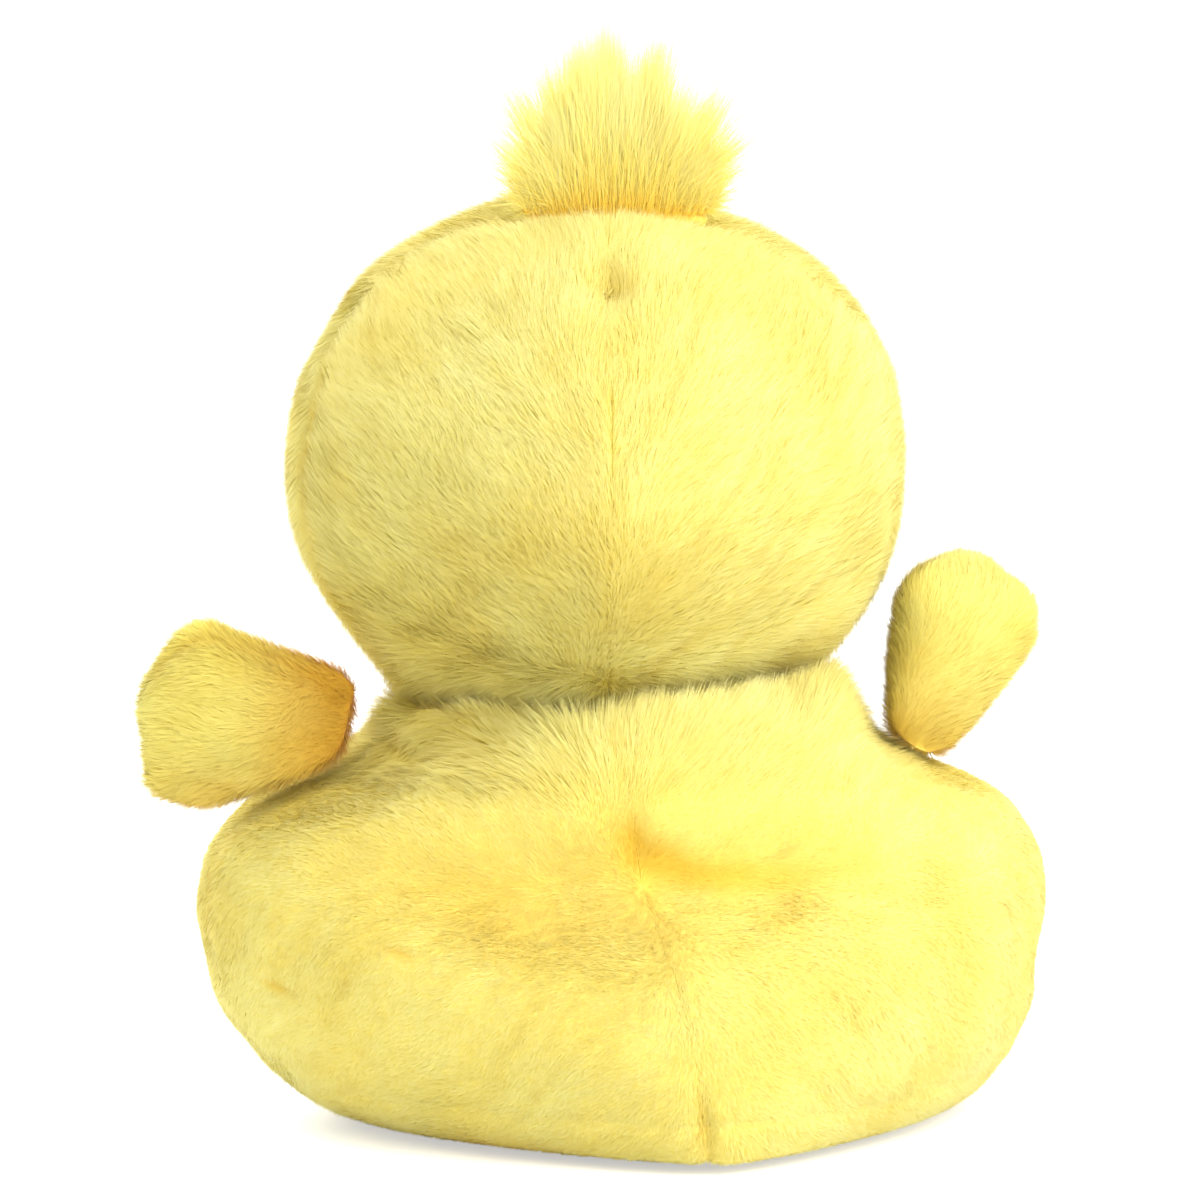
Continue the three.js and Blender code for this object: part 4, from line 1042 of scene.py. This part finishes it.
def from_eyes(points):
    """How far points of the head are from the rim of the nearer eye."""
    away = [np.linalg.norm(points - place[:3, 3], axis=-1) for place in eye_places.values()]
    return np.minimum(*away) - EYE_RADIUS


def from_bill(points):
    """How far points of the face are from the bill's outline, as a share of its size."""
    x, y, z = coordinates(points)
    away = np.hypot(x / (BILL_WIDTH / 2 * 0.92), (z + BILL_DROP) / (BILL_THICKNESS / 2))
    return np.where(y < 0, away - 1, 9)


def head_comb(points):
    """The face's pile lies down and out; that of the back lies up and out, and down below the widest part."""
    x, y, z = coordinates(points)
    in_face = y < CROWN_SEAM_SETBACK
    outward = np.clip(x / 12, -1, 1) * np.where(in_face, 0.5, 0.8)
    return xyz(outward, 0, np.where(in_face, -1, 2 * smooth_step(-29, -17, z) - 1))


def head_grown(points):
    """Pile is short round the eyes, the bill and the foot of the crest."""
    x, y, z = coordinates(points)
    near_eye = 0.25 + 0.75 * smooth_step(0.2, 3.5, from_eyes(points))
    near_bill = 0.3 + 0.7 * smooth_step(0, 0.5, from_bill(points))
    beside = np.maximum(np.abs(x + CREST_ASIDE) - 10.5, 0)
    from_crest = np.hypot(y - crest_foot[1], z - crest_foot[2]) + beside
    return near_eye * near_bill * (0.35 + 0.65 * smooth_step(1.5, 5, from_crest))


def head_lifted(points):
    """Under the head, pile stands up into the gap over the body."""
    return smooth_step(-19, -25, points[..., 2])


def head_kept(points):
    return (from_eyes(points) > 0) & (from_bill(points) > -0.05)


def head_cloth_kept(points):
    """False in the holes for the eyes' stems and for the root of the bill."""
    return (from_eyes(points) > -1.2) & (from_bill(points) > -0.3)


head_form = head_grid()
head_skin = Skin(
    nap_grid(head_form, head_relief, NAP_DEPTH), head_relief, head_comb, "head", "fur", nap, BODY_PILE, fur,
    place=head_place,
    keep=head_kept,
    grown=head_grown,
    lifted=head_lifted,
)
dress(head_skin, head_panels, head_piles, 200, head_cloth_kept)
add_filling("head_stuffing", moved_in(head_form, FILL_DEPTH), "head", "head_fill", head_place)


def add_tack_stitch():
    """The thread that draws a dimple into the back of the head, knotted over its seam."""
    polar = math.acos(TACK_HEIGHT / (HEAD_HEIGHT / 2))
    sunk = np.array(head_surface(polar, math.pi)) + np.array([0, -NAP_DEPTH - 1.6, 0])
    angle = full_turn(10)[:, None]
    arc = np.linspace(-1, 1, 13)[:, None, None]
    for number, lean in enumerate((0.5, -0.9)):
        along = np.array([math.cos(lean), 0, math.sin(lean)])
        aside = np.array([-math.sin(lean), 0, math.cos(lean)])
        middle = sunk + STITCH_REACH * arc * along + (0.4 + 0.2 * number) * (1 - arc**2) * BEHIND
        tube = middle + THREAD_RADIUS * (np.cos(angle) * aside + np.sin(angle) * BEHIND)
        name = "tack_stitch_" + "ab"[number]
        add_piece(name, grid_mesh(name, placed(tube, head_place)), thread, "head", "fibre")


def add_eye(name, place):
    """A glossy dome on a ribbed stem, and the washer pushed over the stem."""
    rise = np.linspace(0, math.pi / 2, 14)
    dome = [(EYE_RADIUS * math.cos(a), EYE_DOME * math.sin(a) - EYE_SINK) for a in rise]
    root = STEM_RADIUS - RIB_DEPTH
    stem = [(0, -STEM_LENGTH), (root, -STEM_LENGTH)]
    for i in range(RIB_COUNT):
        at = -STEM_LENGTH + RIB_PITCH * (i + 1)
        stem += [(STEM_RADIUS, at - RIB_PITCH / 4), (root, at)]
    stem += [(root, -EYE_SINK - 0.3), (EYE_RADIUS - 0.3, -EYE_SINK - 0.3)]
    mesh = turned_mesh(name + "_dome", stem + dome, head_place @ place)
    add_piece(name + "_dome", mesh, eye_black, "head", "eye", name)
    ring = [(1.55, -2), (2.6, -2), (2.6, -1.1), (4.8, -1.1), (5, -0.9), (5, -0.2), (4.8, 0), (1.55, 0)]
    washer = [(radius, height - WASHER_DEPTH) for radius, height in [*ring, ring[0]]]
    mesh = turned_mesh(name + "_lock", washer, head_place @ place)
    add_piece(name + "_lock", mesh, nylon, "head", "washer", name + "_washer")


add_tack_stitch()
for name, place in eye_places.items():
    add_eye(name, place)

# Bill and feet, of brushed orange cloth


def forward_comb(points):
    return -BEHIND


def add_felt(points, seam_height, relief, body, nodes, place, seed, lowest=-math.inf):
    """The two panels of a felt form, above and below its seam, and their fuzz."""
    skin = Skin(points, relief, forward_comb, body, "felt", felt, FUZZ, fuzz, place, lowest=lowest)
    for number, (side, node) in enumerate(zip((1, -1), nodes)):
        planes = [((0, 0, seam_height), -side * UP)]
        add_cloth(skin, node + "_cloth", node, planes)
        add_pile(skin, node + "_fuzz", node, seed + 10 * number, planes)


bill_length = BILL_ROOT + BILL_LENGTH
bill_form = tube_grid(bill_width_shares, bill_thickness_shares, bill_length, BILL_WIDTH, BILL_THICKNESS)
bill_form = laid_forward(bill_form) + np.array([0, -HEAD_WIDTH / 2 + BILL_ROOT, -BILL_DROP])
bill_relief = felt_relief(BILL_WIDTH, BILL_DROP, 9)
bill_nap = nap_grid(bill_form, bill_relief, FELT_NAP_DEPTH)
bill_nodes = ["bill_top_panel", "bill_bottom_panel"]
add_felt(bill_nap, -BILL_DROP, bill_relief, "head", bill_nodes, head_place, 300)
add_filling("bill_stuffing", drawn_small(bill_form, FELT_FILL_DEPTH), "head", "bill_fill", head_place)


def foot_grid():
    """A foot's form from its heel at the joint, with toes drawn out between shallow notches."""
    grid = tube_grid(foot_width_shares, foot_thickness_shares, FOOT_LENGTH, FOOT_WIDTH, FOOT_THICKNESS)
    grid = laid_forward(grid)
    heel_share = FOOT_THICKNESS / 2 / FOOT_LENGTH
    ahead = smooth_step(TOE_START_SHARE, TOE_FULL_SHARE, -grid[..., 1] / FOOT_LENGTH - heel_share)
    across = grid[..., 0] * 2 / FOOT_WIDTH
    toe = (1 - np.cos(math.pi * (TOE_COUNT * across + 1))) / 2
    grid[..., 1] += FOOT_THICKNESS / 2 + ahead * TOE_DEPTH * (1 - toe + across**2)
    return grid


def add_foot(name, side, seed):
    rest = shift(*joint_place(name + "_flex")) @ turn("Z", side * FOOT_SPLAY)

    def beside_body(points, margin):
        for place in (rest, rest @ turn("X", -FOOT_FLEX)):
            points = moved_at(place, clear_of_body, points, margin)
        return points

    form = foot_grid()
    relief = felt_relief(FOOT_WIDTH, 0, 10)
    foot_nap = beside_body(nap_grid(form, relief, FELT_NAP_DEPTH), SWING_GAP)
    add_felt(foot_nap, 0, relief, name, [name + "_top_panel", name + "_sole_panel"], rest, seed, 0.02)
    core = beside_body(drawn_small(form, FELT_FILL_DEPTH), SWING_GAP + FELT_FILL_DEPTH)
    add_filling(name + "_stuffing", core, name, name + "_fill", rest)


add_foot("left_foot", 1, 320)
add_foot("right_foot", -1, 360)

# Wings


def wing_comb(points):
    return LEFT - 0.15 * UP


def add_wing(name, side, lift, highest, twist, root_and_edge_shade, seed):
    shoulder = shift(*joint_place(name + "_flap")) @ turn("Z", 0 if side > 0 else math.pi)

    def place_at(angle):
        return shoulder @ turn("Y", -angle) @ turn("X", twist)

    def pressed(points, margin):
        for angle in np.linspace(LOWEST_LIFT, highest, 5):
            points = moved_at(place_at(angle), clear_of_body, points, margin)
        return moved_at(place_at(highest), clear_of_head, points, margin)

    form = tube_grid(wing_width_shares, wing_thickness_shares, WING_LENGTH, WING_WIDTH, WING_THICKNESS)
    form = form + xyz(-WING_ROOT_RADIUS, 0, WING_BOW_SHARE * WING_LENGTH * (form[..., 0] / WING_LENGTH) ** 2)
    end = WING_LENGTH - WING_ROOT_RADIUS

    def slanted(points, margin):
        """The wing drawn out of the body's reach: its root is slanted as the body's side is, and rounded."""
        root = points.copy()
        root[..., 0] = -WING_ROOT_RADIUS
        start = np.clip(pressed(root, margin)[..., 0] - 1, -WING_ROOT_RADIUS, end - 4)
        slid = points.copy()
        slid[..., 0] = end - (end - points[..., 0]) * (end - start) / WING_LENGTH
        firm = smoothed(pressed(slid, margin), 2)
        soft = pressed(smoothed(firm, 24), margin)
        near_root = smooth_step(start.max() + 5, start.max() + 1, firm[..., 0])[..., None]
        return firm * (1 - near_root) + soft * near_root

    relief = wing_relief(root_and_edge_shade)
    points = slanted(nap_grid(form, relief, LIMB_NAP_DEPTH), SWING_GAP + 0.4)
    skin = Skin(points, relief, wing_comb, name, "fur", wing_nap, WING_PILE, wing_fur, place_at(lift))
    seam = np.array([0, math.cos(WING_SEAM_LEAN), -math.sin(WING_SEAM_LEAN)])
    for number, (panel, way) in enumerate((("_back_panel", -side), ("_front_panel", side))):
        planes = [((0, 0, 0), seam * way)]
        add_cloth(skin, name + panel + "_cloth", name + panel, planes)
        add_pile(skin, name + panel + "_pile", name + panel, seed + 10 * number, planes)
    core = slanted(drawn_small(form, LIMB_FILL_DEPTH), SWING_GAP + LIMB_FILL_DEPTH)
    add_filling(name + "_stuffing", core, name, name + "_fill", skin.place)


# The left wing gets full painted shade at its root and lower edge, the better-lit right wing less
add_wing("left_wing", 1, math.radians(9), math.radians(50), 0, 1, 400)
add_wing("right_wing", -1, math.radians(73), math.radians(77), math.radians(35), 0.4, 440)

# Crest

crest_shift = shift(-CREST_ASIDE, crest_foot[1], crest_foot[2] - CREST_BEAD_RADIUS)
crest_place = head_place @ crest_shift @ turn("X", CREST_LEAN)
crest_half = CREST_SPAN / 2 - 0.6


def add_crest():
    """Long pile that fans out of a rolled edge in soft locks, with loose strands between them."""
    rng = np.random.default_rng(500)
    count = CREST_STRANDS
    locks = np.array(CREST_LOCKS, float)
    lock = rng.choice(len(locks), count, p=locks[:, 3] / locks[:, 3].sum())
    root, across, up = locks[lock, :3].T
    ahead = rng.normal(0, 0.12, len(locks))[lock] * up
    spread = rng.normal(0, 1, (count, 3)) * np.array([1.3, 0.7, 0])
    roots = xyz(root, 0, CREST_BEAD_RADIUS * 0.4) + spread
    reach = rng.beta(3.2, 1.1, count)[:, None] * 1.07
    loose = rng.normal(0, 1, (count, 3)) * np.where(rng.random(count) < 0.4, 1.9, 0.75)[:, None]
    tips = roots + (xyz(across, ahead, up) - roots + spread * (0.9 - 0.4 * reach)) * reach + loose
    roots[:, 0] = np.clip(roots[:, 0], -crest_half, crest_half)
    grid = np.stack([np.clip(roots[:, 0] / CREST_SPAN + 0.5, 0, 1), rng.random(count)], axis=-1)
    length = np.linalg.norm(tips - roots, axis=-1, keepdims=True)
    knees = (roots + tips) / 2 + (UP * 0.5 - (tips - roots) / length / 2) * 0.3 * length
    roots, knees, tips = (placed(points, crest_place) for points in (roots, knees, tips))
    facing = np.broadcast_to(BEHIND, roots.shape)
    depth, shade = np.zeros(count), rng.uniform(0.45, 0.88, count)
    mesh = strand_mesh("crest_pile", roots, tips, facing, CREST_STRAND_WIDTH, grid, depth, shade, 509, knees)
    add_piece("crest_pile", mesh, crest_fur, "crest", "fur", "crest")


def add_crest_edge():
    """The rolled edge that the crest's pile grows from."""
    ends = np.linspace(0, math.pi, 12)
    profile = [(CREST_BEAD_RADIUS * math.sin(a) ** 0.5, -crest_half * math.cos(a)) for a in ends]
    mesh = turned_mesh("crest_edge", profile, crest_place @ turn("Y", math.pi / 2), 24)
    add_piece("crest_edge", mesh, crest_cloth, "crest", "fur", "crest")


add_crest()
add_crest_edge()

# Camera, light and floor

PHOTO_SIDE = 1200
PIXELS_PER_MM = 9.02
AIM = Vector((0, 0, 60)) * MM
AIM_PIXEL = (624, 581)
CAMERA_AZIMUTH = math.radians(168.5)
CAMERA_ELEVATION = math.radians(6.3)
CAMERA_DISTANCE = 0.9
WORLD_LIGHT = 0.97
FLOOR_LIFT = 0.5


def add_camera():
    back = Vector((
        math.sin(CAMERA_AZIMUTH) * math.cos(CAMERA_ELEVATION),
        -math.cos(CAMERA_AZIMUTH) * math.cos(CAMERA_ELEVATION),
        math.sin(CAMERA_ELEVATION),
    ))
    camera = bpy.data.objects.new("camera", bpy.data.cameras.new("camera"))
    bpy.context.scene.collection.objects.link(camera)
    camera.location = AIM + back * CAMERA_DISTANCE
    camera.rotation_euler = back.to_track_quat("Z", "Y").to_euler()
    camera.data.sensor_width = 36
    camera.data.lens = camera.data.sensor_width * CAMERA_DISTANCE / (PHOTO_SIDE / PIXELS_PER_MM * MM)
    camera.data.shift_x = (PHOTO_SIDE / 2 - AIM_PIXEL[0]) / PHOTO_SIDE
    camera.data.shift_y = (AIM_PIXEL[1] - PHOTO_SIDE / 2) / PHOTO_SIDE
    bpy.context.scene.camera = camera


def add_lamp(name, place, size, power):
    lamp = bpy.data.objects.new(name, bpy.data.lights.new(name, "AREA"))
    bpy.context.scene.collection.objects.link(lamp)
    lamp.location = place
    lamp.rotation_euler = (Vector(place) - AIM).to_track_quat("Z", "Y").to_euler()
    lamp.data.size = size
    lamp.data.energy = power


def add_world():
    """Plain white light, and a white background where the camera, or a mirror or glass, looks into it."""
    world = bpy.data.worlds.new("world")
    bpy.context.scene.world = world
    world.use_nodes = True
    tree = world.node_tree
    light = tree.nodes["Background"]
    feed(tree, light, {"Color": WHITE, "Strength": WORLD_LIGHT})
    seen = tree.nodes.new("ShaderNodeBackground")
    feed(tree, seen, {"Color": WHITE})
    path = tree.nodes.new("ShaderNodeLightPath")
    either = math_node(tree, "MAXIMUM", path.outputs["Is Camera Ray"], path.outputs["Is Glossy Ray"])
    either = math_node(tree, "MAXIMUM", either, path.outputs["Is Transmission Ray"])
    mix = tree.nodes.new("ShaderNodeMixShader")
    feed(tree, mix, {0: either, 1: light.outputs[0], 2: seen.outputs[0]})
    feed(tree, tree.nodes["World Output"], {0: mix.outputs[0]})


def add_floor():
    """A white floor that keeps the duck's shadow."""
    bpy.ops.mesh.primitive_plane_add(size=12)
    floor = bpy.context.object
    floor.name = "floor"
    material, tree, surface = new_material("floor")
    path = tree.nodes.new("ShaderNodeLightPath")
    lift = math_node(tree, "MULTIPLY", path.outputs["Is Camera Ray"], FLOOR_LIFT)
    feed(tree, surface, {"Base Color": (0.93, 0.93, 0.93), "Roughness": 0.9, "Specular IOR Level": 0})
    feed(tree, surface, {"Emission Color": WHITE, "Emission Strength": lift})
    floor.data.materials.append(material)


add_camera()
add_lamp("key", (-0.52, 0.86, 0.7), 1.1, 12.2)
add_lamp("front", (0.35, -0.9, 0.7), 0.8, 9)
add_world()
add_floor()

bpy.context.scene.view_settings.view_transform = "Standard"
